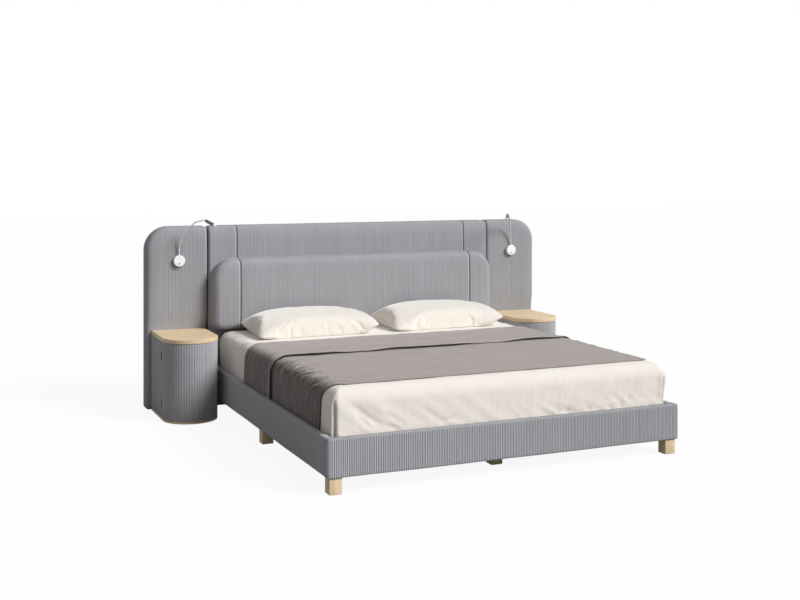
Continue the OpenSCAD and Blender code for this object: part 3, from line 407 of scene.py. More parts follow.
def paddedForm(form):
    # Front face, rounded edge and walls of a ribbed padded block on depth 0.
    # Columns run across at equal arc length, rows follow the outline from end to end;
    # the depth is the thickness less a quarter circle near the outline, plus a crown.
    edge, wall = form["edge"], form["thick"] - form["edge"]
    flat = form["w"] / 2 - edge
    reach = flat + edge * math.pi / 2
    s, crest, tone = ribColumns(-reach, reach, form["pitch"], form["seed"])
    wallS, wallCrest, wallTone = ribColumns(0, wall, form["pitch"], form["seed"] + 1)
    turn = np.maximum(np.abs(s) - flat, 0) / edge
    u = np.sign(s) * np.where(turn > 0, flat + edge * np.sin(turn), np.abs(s))
    u[0], u[-1] = -form["w"] / 2, form["w"] / 2
    arc = edge * (1 - np.cos(quarter(form["arcRows"] + 1)))

    def endRows(r):
        steps = np.arange(1, form["endRows"] + 1) / form["endRows"]
        return join([arc, edge + (max(r - edge, 0) + form["deep"]) * steps])

    low, top = endRows(max(form["radii"][:2])), endRows(max(form["radii"][2:]))
    vLow, vTop = endHeights(u, form)
    lowPart = low[:, None] - vLow[None]
    topPart = vTop[None] - top[::-1, None]
    share = np.linspace(0, 1, form["midRows"] + 2)[1:-1, None]
    v = join([lowPart, lowPart[-1] * (1 - share) + topPart[0] * share, topPart])
    uGrid = spread(u, v.shape)
    inside, gu, gv = outlineDepth(uGrid, v, form)
    lean = np.clip((edge - inside) / edge, 0, 1)
    rise = np.sqrt(np.maximum(1 - lean**2, 0))
    span = min(form["w"], form["h"]) / 2 - edge
    crown = form["crown"] * np.sin(math.pi / 2 * np.clip((inside - edge) / span, 0, 1))
    normal = np.stack([-gu * lean, -gv * lean, rise], -1)
    points = np.stack([uGrid, v, wall + edge * rise + crown], -1)
    # the walls below and above the face, as more rows of the same columns
    count = form["wallRows"]
    steps = wall * np.arange(count) / count
    flatNormal = np.stack([-gu, -gv, np.zeros_like(gu)], -1)

    def wallPart(row, order):
        rows = points[row] * [1, 1, 0] + np.array([0, 0, 1]) * steps[:, None, None]
        return rows[::order], spread(flatNormal[row], rows.shape)

    lowWall, lowNormal = wallPart(0, 1)
    topWall, topNormal = wallPart(-1, -1)
    points = join([lowWall, points, topWall])
    normal = join([lowNormal, normal, topNormal])
    parts = [(points, normal, *(spread(row, points.shape[:2]) for row in (crest, tone, s)))]
    # the two side walls
    for side, column in ((-1, 0), (1, -1)):
        line = points[count:-count, column]
        size = (len(line), len(wallS))
        grid = np.stack([spread(each, size) for each in (line[:, :1], line[:, 1:2], wall - wallS)], -1)
        run = np.abs(line[:, 1] - line[0, 1])
        fade = smoothStep(run, 0, ribs["ends"]) * smoothStep(run[-1] - run, 0, ribs["ends"])
        level = wallCrest * fade[:, None] + crest[0] * (1 - fade[:, None])
        level[:, 0] = crest[0]
        part = (grid, np.zeros(grid.shape) + [side, 0, 0], level, spread(wallTone, size),
                spread(side * (reach + wallS), size))
        parts.append(tuple(values[:, ::side] for values in part))
    return parts


def joinParts(parts, ribHeight=0.0, extra=None):
    # grids become one list of points, quads, crests and tones; ribs sink between their crests
    allPoints, allFaces, allCrest, allTone = [], [], [], []
    first = 0
    for points, normal, crest, tone, s in parts:
        sink = ribHeight * (1 - crest)
        if extra is not None:
            more, crest = extra(points, crest, s)
            sink = sink + more
        moved = points - normal * sink[..., None]
        rows, cols = moved.shape[:2]
        allPoints.append(moved.reshape(-1, 3))
        allFaces.append(gridFaces(rows, cols, first))
        allCrest.append(np.asarray(crest).ravel())
        allTone.append(np.asarray(tone).ravel())
        first += rows * cols
    return tuple(join(each) for each in (allPoints, allFaces, allCrest, allTone))


def backRim(parts, width, inward):
    # a folded-in hem behind each wall: width across the back, then inward into the recess
    points, normal = parts[0][:2]
    strips = []
    for row in (0, -1):
        base, n = points[row] * [1, 1, 0], normal[row] * [1, 1, 0]
        strips.append(np.stack([base, base - n * width, base - n * width + [0, 0, inward]]))
    for k, side, column in ((1, -1, 0), (2, 1, -1)):
        line = parts[k][0][:, column]
        a = line - np.array([side, 0, 0]) * width
        strips.append(np.stack([line, a, a + [0, 0, inward]], 1)[:, ::side])
    return [(grid, np.zeros(grid.shape) + [0, 0, 1], np.ones(grid.shape[:2]),
             *[np.zeros(grid.shape[:2])] * 2) for grid in strips]


def slopeDepth(points, form):
    # The depth falls away towards the top and the open sides, by the square of what is left of
    # the reach there, and the padding stands proud by its rise above the nightstand; a wall is
    # stretched or shortened by its share.
    far = 1.0  # closed sides are moved this far out
    left, right = form["open"]
    wide = {"w": form["w"] + far * (2 - left - right), "h": form["h"] + far, "radii": form["radii"]}
    u, v, depth = points[..., 0], points[..., 1], points[..., 2]
    inside, _, _ = outlineDepth(u + far / 2 * (right - left), v + far / 2, wide)
    fall = form["slope"] * (1 - np.clip(inside / form["reach"], 0, 1)) ** 2
    share = smoothStep(v + form["h"] / 2, form["from"], form["full"])
    share = share * np.clip(depth / (form["thick"] - form["edge"]), 0, 1)
    return np.stack([u, v, depth + (form["rise"] - fall) * share], -1)


panelBase = {  # what the headboard's padded panels share, unless one of them says otherwise
    "x": 0.0, "h": 1.12, "z": 0.56, "back": 1.116, "radii": (0.024,) * 4, "crown": 0.0,
    "slope": 0.017, "reach": 0.08, "from": 0.47, "full": 0.58, "rise": 0.0, "open": (0, 0),
    "pitch": ribs["pitch"], "rib": 0.0008, "hem": 0.0078, "hemDepth": 0.012,
    "wave": 0.0007, "waves": (9, 0.16, 0.7),  # depth, then ripples' count, least and greatest length
    "wallRows": 3, "midRows": 8, "arcRows": 6, "endRows": 8, "deep": 0.01, "seams": (),
}
wing = {"w": 0.38, "thick": 0.07, "edge": 0.024, "rise": 0.032, "endRows": 14}
# the seam's groove gets painted shade and a pale painted highlight runs along its lip
seam = {"x": 0.795, "depth": 0.005, "width": 0.0045, "start": 0.004, "dark": 0.85,
        "rim": 0.45, "rimAt": -0.0075, "rimWidth": 0.003}
panels = {
    "leftWingPadding": {**wing, "node": "left_wing_pad", "x": -1.167, "open": (1, 0), "seed": 10,
                        "radii": (0.024, 0.024, 0.024, 0.145)},
    "rightWingPadding": {**wing, "node": "right_wing_pad", "x": 1.167, "open": (0, 1), "seed": 12,
                         "radii": (0.024, 0.024, 0.145, 0.024)},
    "centrePadding": {"node": "centre_pad", "w": 1.948, "thick": 0.108, "edge": 0.014, "seed": 21,
                      "deep": 0.08, "seams": (-1, 1), "seamLow": 0.137},
    "innerPadding": {"node": "cushion_pad", "w": 1.93, "h": 0.44, "z": 0.697, "back": 1.008,
                     "thick": 0.092, "edge": 0.044, "radii": (0.052, 0.052, 0.135, 0.135),
                     "crown": 0.005, "arcRows": 8, "endRows": 9, "seed": 31, "slope": 0.006,
                     "from": 0.1, "full": 0.2, "seams": (-1, 1), "seamLow": -1.0},
}
crestStart, crestSpan = 0.33, 0.4  # the panels' crest values are gathered to these, which weakens their painted groove shade


def panelPiece(name, form):
    # ribbed padded panel, stood up with its back on a plane across the bed
    def extra(points, crest, s):
        u, v = points[..., 0], points[..., 1]
        sink = uneven((form["wave"], form["seed"], *form["waves"]), u, v)
        crest = crestStart + crestSpan * crest
        for way in form["seams"]:
            rise = smoothStep(v, form["seamLow"], form["seamLow"] + seam["start"])
            off = s - way * seam["x"]
            near = hump(off, seam["width"]) * rise
            rim = rise * hump(off - seam["rimAt"], seam["rimWidth"])
            sink = sink + seam["depth"] * near
            # painted shade in the seam's groove and a painted highlight on its lip
            crest = crest * (1 - seam["dark"] * near) + seam["rim"] * rim
        return sink, crest

    parts = paddedForm(form)
    sloped = [(slopeDepth(part[0], form), *part[1:]) for part in parts]
    points, faces, crest, tone = joinParts(sloped, form["rib"], extra)
    more, moreFaces, moreCrest, moreTone = joinParts(backRim(parts, form["hem"], form["hemDepth"]))
    faces = join([faces, moreFaces + len(points)])
    across, up, depth = join([points, more]).T
    points = np.stack([form["x"] + across, form["back"] - depth, form["z"] + up], 1)
    attributes = {"crest": join([crest, moreCrest]), "tone": join([tone, moreTone])}
    piece = buildPiece(name, points, faces, "ribbed", attributes, weld=1e-6)
    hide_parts(form["node"])


for name, form in panels.items():
    panelPiece(name, {**panelBase, **form})
print("headboards made")

rails = {
    "low": 0.075, "high": 0.259, "edge": 0.009, "x": 0.9485, "thick": 0.033,
    "front": -1.076, "back": 1.008, "footY": -1.0975, "footThick": 0.043, "footW": 1.93,
    # crest, even and fade set the painted shade in the rib grooves
    "rib": 0.0038, "crest": (-0.1, 1.2), "even": 0.7, "fade": 0.55, "fadeAlong": (-0.6, 0.9),
    "wave": 0.0004, "waves": (7, 0.2, 0.9),
}


def railPiece(name, length, thick, place, node, seed):
    # two mirrored padded halves back to back make one upholstered board
    form = {**panelBase, "w": length, "h": rails["high"] - rails["low"], "thick": thick / 2,
            "edge": rails["edge"], "radii": (rails["edge"],) * 4, "wallRows": 1, "midRows": 2,
            "arcRows": 5, "endRows": 1, "seed": seed}

    def extra(points, crest, s):
        # the crests' painted groove shade stands out less and less along the board
        start, span = rails["crest"]
        fade = rails["fade"] * smoothStep(points[..., 0], *rails["fadeAlong"])
        crest = (start + span * crest) * (1 - fade) + rails["even"] * fade
        waves = (rails["wave"], seed, *rails["waves"])
        return uneven(waves, points[..., 0], points[..., 1]), crest

    points, faces, crest, tone = joinParts(paddedForm(form), rails["rib"], extra)
    faces = join([faces, faces[:, ::-1] + len(points)])
    points = join([points, points * [1, 1, -1]])
    attributes = {"crest": np.tile(crest, 2), "tone": np.tile(tone, 2)}
    piece = buildPiece(name, place(*points.T), faces, "ribbed", attributes, weld=1e-6)
    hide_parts(node)


railZ = (rails["low"] + rails["high"]) / 2
railY = (rails["front"] + rails["back"]) / 2
railPiece("footboardCloth", rails["footW"], rails["footThick"],
          lambda u, v, depth: np.stack([u, rails["footY"] - depth, railZ + v], 1), "footboard", 41)
for side, sign in sides.items():
    railPiece(side + "RailCloth", rails["back"] - rails["front"], rails["thick"],
              lambda u, v, depth: np.stack([sign * (rails["x"] + depth), railY + u * sign, railZ + v], 1),
              side + "_side_rail", 43 + sign)
print("rails made")

stand = {
    "x": 1.161, "r": 0.161, "roundY": 0.718, "wingY": 1.046, "sideFront": 0.752,
    "doorY": 0.7494, "thick": 0.018, "low": 0.012, "high": 0.462, "doorLow": 0.0133,
    "doorHigh": 0.4607, "top": 0.486, "over": 0.002, "edge": 0.002, "rib": 0.0027,
    "topEdge": 0.0025, "baseEdge": 0.0012,
}


def roundedLevels(low, high, edge, count, between=()):
    # (inset, height) up a wall whose two edges are quarter circles
    ends = [(edge * (1 - math.sin(a)), edge * (1 - math.cos(a))) for a in quarter(count)]
    return ([(inset, low + rise) for inset, rise in ends] + [(0, z) for z in between]
            + [(inset, high - rise) for inset, rise in reversed(ends)])


def wallPiece(name, path, heading, columns, low, high, body):
    # A wall that follows a plan path: its outer face is ribbed, its section a rounded bar.
    # Each point is the path's point drawn in against the heading by the section's depth.
    edge, thick = stand["edge"], stand["thick"]
    _, level, tone = columns
    section = roundedLevels(low, high, edge, 4, np.linspace(low + edge, high - edge, 6)[1:-1])
    section = np.array(section + [(thick - a, z) for a, z in reversed(section)])
    rows, cols = len(section), len(path)
    outer = (section[:, 0] < thick / 2)[:, None]
    sink = section[:, 0, None] + stand["rib"] * (1 - level)[None] * outer
    plan = path[None] - heading[None] * sink[..., None]
    points = join([plan, spread(section[:, 1, None], sink.shape)[..., None]], -1).reshape(-1, 3)
    a, b = np.arange(cols - 1), np.arange(1, cols)
    last = (rows - 1) * cols
    faces = join([gridFaces(rows, cols), np.stack([a + last, b + last, b, a], 1)])
    caps = [np.arange(rows) * cols, np.arange(rows)[::-1] * cols + cols - 1]
    a, b, c = points[faces[4, 0]], points[faces[4, 1]], points[faces[4, 3]]
    if np.dot(np.cross(b - a, c - a)[:2], heading[0]) < 0:  # the path ran the other way round
        faces = faces[:, ::-1]
        caps = [cap[::-1] for cap in caps]
    # the crest value darkens the outer face's grooves with painted shade
    attributes = {"crest": np.where(outer, level[None], 1.0), "tone": spread(tone, sink.shape)}
    return buildPiece(name, points, faces, "ribbed", attributes, body, caps=caps)


def doorPath(sign):
    # outer plan of the door: straight, half round, straight, by arc length
    straight = stand["doorY"] - stand["roundY"]
    columns = ribColumns(0, 2 * straight + math.pi * stand["r"], ribs["standPitch"], 51 + sign)
    s = columns[0]
    angle = np.clip((s - straight) / stand["r"], 0, math.pi)
    x = stand["r"] * np.cos(angle)
    y = -stand["r"] * np.sin(angle)
    y = y + np.maximum(straight - s, 0) + np.maximum(s - straight - math.pi * stand["r"], 0)
    path = np.stack([sign * (stand["x"] + x), stand["roundY"] + y], 1)
    heading = np.stack([sign * np.cos(angle), -np.sin(angle)], 1)
    return path, heading, columns


for side, sign in sides.items():
    path, heading, columns = doorPath(sign)
    door = wallPiece(side + "DoorCloth", path, heading, columns, stand["doorLow"],
                     stand["doorHigh"], side + "_door")
    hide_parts(side + "_door")
    for way in (-1, 1):
        columns = ribColumns(stand["sideFront"], stand["wingY"], ribs["standPitch"], 57 + way)
        s = columns[0]
        path = np.stack([np.full(len(s), sign * stand["x"] + way * stand["r"]), s], 1)
        heading = np.zeros(path.shape) + [way, 0]
        where = "Outer" if way == sign else "Inner"
        panel = wallPiece(side + where + "SideCloth", path, heading, columns, stand["low"],
                          stand["high"], rootBody)
        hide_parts(side + "_stand_sides")


def stackPiece(name, plans, levels, finish, node):
    # Blocks of solid oak. Each plan gives its closed loop, anticlockwise, drawn in by an inset; the
    # loops lie one above another at the levels' heights, with a cap at both ends.
    points, faces, caps, first = [], [], [], 0
    for plan in plans:
        for inset, z in levels:
            x, y = plan(inset)
            points.append(np.stack([x, y, np.full(len(x), z)], 1))
        rows, cols = len(levels), len(x)
        faces.append(gridFaces(rows, cols, first))
        caps += [first + np.arange(cols - 1)[::-1], first + (rows - 1) * cols + np.arange(cols - 1)]
        first += rows * cols
    piece = buildPiece(name, join(points), join(faces), finish, weld=1e-6, caps=caps)
    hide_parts(node)


def slabPlan(sign, r):
    # the nightstand's plan, straight, half round and straight
    def plan(inset):
        angle = np.linspace(0, math.pi, 61)
        x = (r - inset) * np.cos(join([[0], angle, [math.pi, 0]]))
        bow = stand["roundY"] - (r - inset) * np.sin(angle)
        y = join([[stand["wingY"]], bow, [stand["wingY"]] * 2])
        return sign * (stand["x"] + x[::-sign]), y[::-sign]
    return plan


def squarePlan(middleX, middleY):
    # a leg's square with rounded corners
    def plan(inset):
        half, r = legs["side"] / 2 - legs["bevel"], legs["bevel"] - inset
        angle = join([turn * math.pi / 2 + quarter(4) for turn in range(4)])
        x = middleX + np.repeat([1, -1, -1, 1], 4) * half + r * np.cos(angle)
        y = middleY + np.repeat([1, 1, -1, -1], 4) * half + r * np.sin(angle)
        return np.append(x, x[0]), np.append(y, y[0])
    return plan


for side, sign in sides.items():
    stackPiece(side + "StandTop", [slabPlan(sign, stand["r"] + stand["over"])],
               roundedLevels(stand["high"], stand["top"], stand["topEdge"], 5), "oakX",
               side + "_stand_top")
    stackPiece(side + "StandBase", [slabPlan(sign, stand["r"])],
               roundedLevels(0.0, stand["low"], stand["baseEdge"], 5), "oakX", side + "_stand_base")
print("nightstands made")

legs = {"side": 0.062, "bevel": 0.003, "high": 0.075, "beamHigh": 0.136, "cornerX": 0.922,
        "frontY": -1.076, "midY": -0.0365, "beamYs": (-0.902, -0.0365, 0.766)}
for name, places, high, node in (
    ("frontLegs", [(x, legs["frontY"]) for x in (-legs["cornerX"], legs["cornerX"])],
     legs["high"], "front_legs"),
    ("middleLegs", [(x, legs["midY"]) for x in (-legs["cornerX"], legs["cornerX"])],
     legs["high"], "mid_legs"),
    ("beamLegs", [(0.0, y) for y in legs["beamYs"]], legs["beamHigh"], "beam_legs"),
):
    levels = roundedLevels(0.0, high, legs["bevel"], 4)
    stackPiece(name, [squarePlan(*place) for place in places], levels, "oakZ", node)
print("legs made")

lamp = {
    "x": 1.161, "y": 1.0015, "ballZ": 0.9535, "bend": 0.21, "turn": 55.0, "neckR": 0.0048,
    "endR": 0.0034, "ballR": 0.0048, "cupR": 0.005, "tilt": 21.5,
    "mouth": 0.1,  # angle from the axis at which the balls and the cup are cut off flat
    "ridge": 0.0024,  # length of one ridge of the neck
    "thins": (0.004, 0.02),  # distances from its ends between which the neck gets thin
    "wobble": 0.0022, "headStart": 0.0015, "lensStart": 0.0705,
    "head": (  # distance from the start and radius
        (0.0, 0.0068), (0.0006, 0.0078), (0.005, 0.0086), (0.0065, 0.0096), (0.0075, 0.01),
        (0.018, 0.01), (0.0184, 0.0094), (0.0194, 0.0094), (0.0198, 0.01), (0.068, 0.01),
        (0.069, 0.0094), (0.069, 0.003),
    ),
    "lens": ((0.0, 0.003), (0.0, 0.0092), (0.0075, 0.0092), (0.0092, 0.0084), (0.0098, 0.0068),
             (0.01, 0.003)),
}


def sweep(centre, radius, count=12):
    # tube along a line: circles in the plane square to the line, turned with it without twist
    ahead = np.gradient(centre, axis=0)
    ahead /= np.linalg.norm(ahead, axis=1)[:, None]
    bend = np.cross(ahead[0], ahead[-1])
    bend = bend / np.linalg.norm(bend)
    out = np.cross(ahead, bend)
    out /= np.linalg.norm(out, axis=1)[:, None]
    third = np.cross(ahead, out)
    angle = np.linspace(0, 2 * math.pi, count + 1)
    ring = out[:, None] * np.cos(angle)[None, :, None] + third[:, None] * np.sin(angle)[None, :, None]
    return centre[:, None] + ring * radius[:, None, None]


def lathe(profile, origin, axis, count=40):
    # profile of (along, radius) turned round an axis
    axis = np.array(axis, float) / np.linalg.norm(axis)
    side = np.cross(axis, [0.3, 0.2, 1.0])
    side /= np.linalg.norm(side)
    up = np.cross(axis, side)
    angle = np.linspace(0, 2 * math.pi, count + 1)
    ring = np.cos(angle)[:, None] * side + np.sin(angle)[:, None] * up
    profile = np.array(profile, float)
    return (np.array(origin) + profile[:, 0, None, None] * axis
            + profile[:, 1, None, None] * ring[None])


def closedTube(name, grid, finish, body, node):
    rows, cols = grid.shape[:2]
    caps = [np.arange(cols - 1), np.arange(cols - 1)[::-1] + (rows - 1) * cols]
    piece = buildPiece(name, grid, gridFaces(rows, cols)[:, ::-1], finish, body=body,
                       weld=1e-7, caps=caps)
    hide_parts(node)


for side, sign in sides.items():
    heading = math.radians(180 + lamp["turn"])
    out = np.array([sign * math.cos(heading), math.sin(heading), 0.0])
    up = np.array([0.0, 0.0, 1.0])
    start = np.array([sign * lamp["x"], lamp["y"], lamp["ballZ"]])
    ridges = int(lamp["bend"] * math.pi / 2 / lamp["ridge"])
    t = quarter(4 * ridges + 1)
    wobble = lamp["wobble"] * np.sin(t * 17) * np.sin(2 * t) * (1 + 0.4 * np.sin(t * 7 + 1))
    radial = lamp["bend"] + wobble
    centre = (start + lamp["bend"] * out + np.outer(-radial * np.cos(t), out)
              + np.outer(radial * np.sin(t), up))
    wave = np.append(np.tile([0.0, 0.7, 1.0, 0.7], ridges), 0.0)
    radius = lamp["neckR"] * (0.84 + 0.16 * wave)
    ends = np.minimum(t, t[-1] - t) * lamp["bend"]
    radius = lamp["endR"] + (radius - lamp["endR"]) * smoothStep(ends, *lamp["thins"])
    # a ball closes each end: the circle's half chord at that distance from its middle
    radius = np.maximum(radius, np.sqrt(np.maximum(lamp["ballR"] ** 2 - ends**2, 0)))
    angle = np.linspace(lamp["mouth"], math.pi / 2, 8)[:-1]
    beyond, closing = lamp["ballR"] * np.cos(angle)[:, None], lamp["ballR"] * np.sin(angle)
    tip = start + lamp["bend"] * (out + up)
    centre = join([start - up * beyond, centre, (tip + out * beyond)[::-1]])
    radius = join([closing, radius, closing[::-1]])
    tilt = math.radians(lamp["tilt"])
    axis = out * math.cos(tilt) - up * math.sin(tilt)
    cupR, headStart, lensStart = lamp["cupR"], lamp["headStart"], lamp["lensStart"]
    angle = np.linspace(lamp["mouth"], math.acos(headStart / cupR), 8)
    head = [(cupR * math.cos(a), cupR * math.sin(a)) for a in angle]
    head += [(headStart + z, r) for z, r in lamp["head"]]
    lens = [(lensStart + z, r) for z, r in lamp["lens"]]
    closedTube(side + "Gooseneck", sweep(centre, radius), "satinMetal",
               side + "_lamp_neck", side + "_lamp_neck")
    closedTube(side + "LampHead", lathe(head, tip, axis), "darkMetal",
               side + "_lamp_head", side + "_lamp_head")
    closedTube(side + "LampLens", lathe(lens, tip, axis), "lensPlastic",
               side + "_lamp_head", side + "_lamp_lens")
print("lamps made")


def planRings(form, inset):
    # Rectangles with round corners, one per inset, and their outward headings: for the front,
    # right, back and left side a straight run, then a quarter circle that shrinks with the inset.
    w, l = form["w"] / 2, form["l"] / 2
    bend = np.maximum(form["corner"] - inset, 0.1 * form["corner"])
    rings, headings = [], []
    for k in range(4):
        angle = (k - 1) * math.pi / 2
        half, out = (w, l) if k % 2 == 0 else (l, w)
        h = np.array([math.cos(angle), math.sin(angle)])
        t = np.array([-h[1], h[0]])
        run = np.linspace(-1, 1, form["runs"][k] + 1)[:-1, None]
        arc = angle + quarter(form["arcs"][k] + 1)[:-1, None]
        turned = join([np.cos(arc), np.sin(arc)], 1)
        straight = half - inset - bend
        rings.append((out - inset) * h + straight * run * t)
        rings.append((out - inset - bend) * h + straight * t + bend * turned)
        headings += [spread(h, (len(run), 2)), turned]
    plan, heading = join(rings, 1), join(headings)
    return (join([plan, plan[:, :1]], 1),
            join([heading, heading[:1]])[None])


def ringStack(form, rows):
    # Rings of the plan, one for each row of (inset, share, height, outward, upward): the share
    # gathers a ring to the line down the middle, the last two turn its normals.
    inset, share, z, out, up = (column[:, None, None] for column in np.array(rows, float).T)
    plan, heading = planRings(form, inset)
    middle = (form["l"] - form["w"]) / 2
    spine = join([0 * plan[..., :1], np.clip(plan[..., 1:], -middle, middle)], -1)
    widest = plan[int(np.argmin(inset))]
    along = np.append(0, np.cumsum(np.linalg.norm(np.diff(widest, axis=0), axis=1)))
    plan = plan * (1 - share) + spine * share + [0, form["midY"]]
    high = plan[..., :1] * 0
    points = join([plan, high + z], -1)
    normal = join([heading * out, high + up], -1)
    return points, normal, along


def wallRows(inset, low, high, count):
    return [(inset, 0, z, 1, 0) for z in np.linspace(low, high, count)]


def shoulderRows(inset, high, r, count):
    # a quarter circle from the wall up to the top
    return [(inset + r * (1 - math.cos(a)), 0, high - r + r * math.sin(a), math.cos(a), math.sin(a))
            for a in quarter(count)]


def lidRows(inset, high, count):
    return [(inset, share, high, 0, 1) for share in np.linspace(0, 1, count + 1)[1:]]


mattress = {"w": 1.8, "l": 2.0, "corner": 0.042, "midY": -0.046, "low": 0.19, "top": 0.46,
            "edge": 0.032, "runs": (45, 50, 45, 50), "arcs": (6, 6, 6, 6)}
edge = mattress["edge"]
body = wallRows(0, mattress["low"] + edge, mattress["top"] - edge, 6)[1:-1]
top = shoulderRows(0, mattress["top"], edge, 6) + lidRows(edge, mattress["top"], 8)
bottom = [(inset, share, mattress["low"] + mattress["top"] - z, out, -up)
          for inset, share, z, out, up in reversed(top)]
points, _, _ = ringStack(mattress, bottom + body + top)
core = buildPiece("mattressCore", points, gridFaces(*points.shape[:2]), "ticking",
                  weld=1e-5)
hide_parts("mattress")

cover = {
    "w": 1.84, "l": 2.04, "corner": 0.035, "midY": -0.046, "low": 0.19, "top": 0.475,
    "edge": 0.08, "inner": 0.0195, "innerTop": 0.461, "innerEdge": 0.0325,
    "runs": (245, 190, 57, 190), "arcs": (30, 10, 10, 40),
    # depth, then the ripples' seed, count, least and greatest length
    "sag": (0.0009, 5, 12, 0.12, 0.6), "streaks": (0.00025, 9, 14, 0.02, 0.07),
    "drawn": (0.001, 14, 8, 0.045, 0.14),
    "headDepth": 0.004, "head": (13, 7, 0.04, 0.13),  # folds between pillow and edge
    "slantDepth": 0.004, "slant": (8, 5, 0.2, 0.5),  # creases low on the front
    # from where to where these come in
    "front": (1.035, 1.062), "walls": (0.42, 0.46), "headY": (0.3, 0.4), "headZ": (0.34, 0.44),
    "headX": 0.88, "headWidth": 0.045, "turnX": (-0.1, 0.4), "lowZ": (0.25, 0.36),
    "creaseDepth": 1.2, "creaseWidth": 1.15,  # the creases below are scaled by these
    "creases": (  # on the front: x, z, slant in degrees, length, depth, width
        (-0.797, 0.373, -37, 0.13, 0.003, 0.012), (-0.721, 0.312, -31, 0.2, 0.004, 0.011),
        (-0.76, 0.3, -42, 0.09, 0.004, 0.01), (-0.679, 0.354, -31, 0.094, -0.003, 0.012),
        (-0.629, 0.321, -31, 0.12, 0.003, 0.012), (-0.62, 0.27, -26, 0.06, 0.004, 0.008),
        (-0.411, 0.306, -35, 0.115, 0.003, 0.012), (-0.36, 0.28, -12, 0.05, 0.004, 0.011),
        (-0.32, 0.283, 30, 0.05, 0.0035, 0.01), (0.654, 0.35, 50, 0.15, 0.003, 0.013),
        (0.6, 0.32, 46, 0.13, 0.003, 0.012), (0.72, 0.36, 56, 0.12, 0.0025, 0.013),
    ),
    "scallops": (0.277, 0.33, 0.453, 0.579, 0.646),  # x of the puckers along the footboard
    "scallop": (0.006, 0.018, 0.262, 0.015),  # depth, width, height over the floor and its spread
    # both corners: heights over which a fold starts at its foot and ends
    "foot": (0.2, 0.26), "end": (0.38, 0.415),
    # left corner: depth, place back from the end of the run round the cover, width
    "pleatRidge": (0.005, 0.043, 0.0042), "pleatGroove": (0.017, 0.03, 0.008),
    "pleatHead": (0.003, 0.036, 0.03), "headAt": (0.44, 0.02),
    # right corner: the fold's depth, and for both the share of the corner's arc and the width
    "fold": (0.011, 0.34, 0.0045), "bulgeAt": (0.66, 0.028),
    "bulges": ((0.009, 0.2, 0.27), (0.011, 0.29, 0.39)), "bulgeEnd": (0.4, 0.44),
}


def coverSwell(points, along):
    # soft sag, upright streaks on the walls, slanting creases and puckers low on the front,
    # and a pleat down each front corner; every fold is a Gaussian hump across and along itself
    x, y, z = points[..., 0], points[..., 1], points[..., 2]
    front = smoothStep(-y, *cover["front"])
    wall = 1 - smoothStep(z, *cover["walls"])
    swell = -uneven(cover["sag"], x + 0.3 * z, y - z) - wall * uneven(cover["streaks"], x, y)
    head = smoothStep(y, *cover["headY"]) * hump(np.abs(x) - cover["headX"], cover["headWidth"])
    head = head * smoothStep(z, *cover["headZ"])
    folded = 1 - 1.6 * np.abs(ripples(y + 0.5 * x, 0.4 * x, *cover["head"]))
    swell += cover["headDepth"] * head * folded
    turn = smoothStep(x, *cover["turnX"])
    drawn = (0.82 - 0.2 * turn) * z + (0.57 - 1.35 * turn) * x
    swell -= front * uneven(cover["drawn"], drawn, 0.2 * z)
    low = 1 - smoothStep(z, *cover["lowZ"])
    slant = np.sin((x * 0.8 + z * 1.3) * 38 + 1.5 * np.sin(x * 9)) * ripples(x, z, *cover["slant"])
    swell -= cover["slantDepth"] * front * low * np.abs(slant)
    for atX, atZ, angle, length, depth, width in cover["creases"]:
        c, s = math.cos(math.radians(angle)), math.sin(math.radians(angle))
        ahead = hump((x - atX) * c + (z - atZ) * s, length / 2)
        across = hump((z - atZ) * c - (x - atX) * s, cover["creaseWidth"] * width)
        swell -= cover["creaseDepth"] * depth * front * across * ahead
    depth, width, atZ, spreadZ = cover["scallop"]
    for atX in cover["scallops"]:
        swell -= depth * front * hump(x - atX, width) * hump(z - atZ, spreadZ)
    total = along[-1]

    def near(place, width):
        return hump((along - place + total / 2) % total - total / 2, width)[None]

    # the left corner's pleat, at the end of the run round the cover
    band = smoothStep(z, *cover["foot"]) * (1 - smoothStep(z, *cover["end"]))
    ridge, groove, gathered = (depth * near(total - place, width) for depth, place, width in
                               (cover["pleatRidge"], cover["pleatGroove"], cover["pleatHead"]))
    headZ, width = cover["headAt"]
    swell += band * (ridge - groove) - hump(z - headZ, width) * gathered
    # the right corner's bulge and fold, at shares of the quarter circle there
    right, arc = cover["w"] - 2 * cover["corner"], cover["corner"] * math.pi / 2
    bulge = sum(depth * smoothStep(z, *rise) for depth, *rise in cover["bulges"])
    share, width = cover["bulgeAt"]
    swell += bulge * (1 - smoothStep(z, *cover["bulgeEnd"])) * near(right + share * arc, width)
    depth, share, width = cover["fold"]
    return swell - depth * band * near(right + share * arc, width)


inner = shoulderRows(cover["inner"], cover["innerTop"], cover["innerEdge"], 4)
inner += lidRows(cover["inner"] + cover["innerEdge"], cover["innerTop"], 4)
inner.insert(0, (cover["inner"], 0, cover["low"], 0, 0))
inner = [(inset, share, z, 0, 0) for inset, share, z, _, _ in reversed(inner)]
outer = wallRows(0, cover["low"], cover["top"] - cover["edge"], 27)[:-1]
outer += shoulderRows(0, cover["top"], cover["edge"], 9) + lidRows(cover["edge"], cover["top"], 44)
points, normal, along = ringStack(cover, inner + outer)
points = points + normal * coverSwell(points, along)[..., None]
piece = buildPiece("bedCover", points, gridFaces(*points.shape[:2]), "cream",
                   weld=1e-5)
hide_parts("bed_cover")

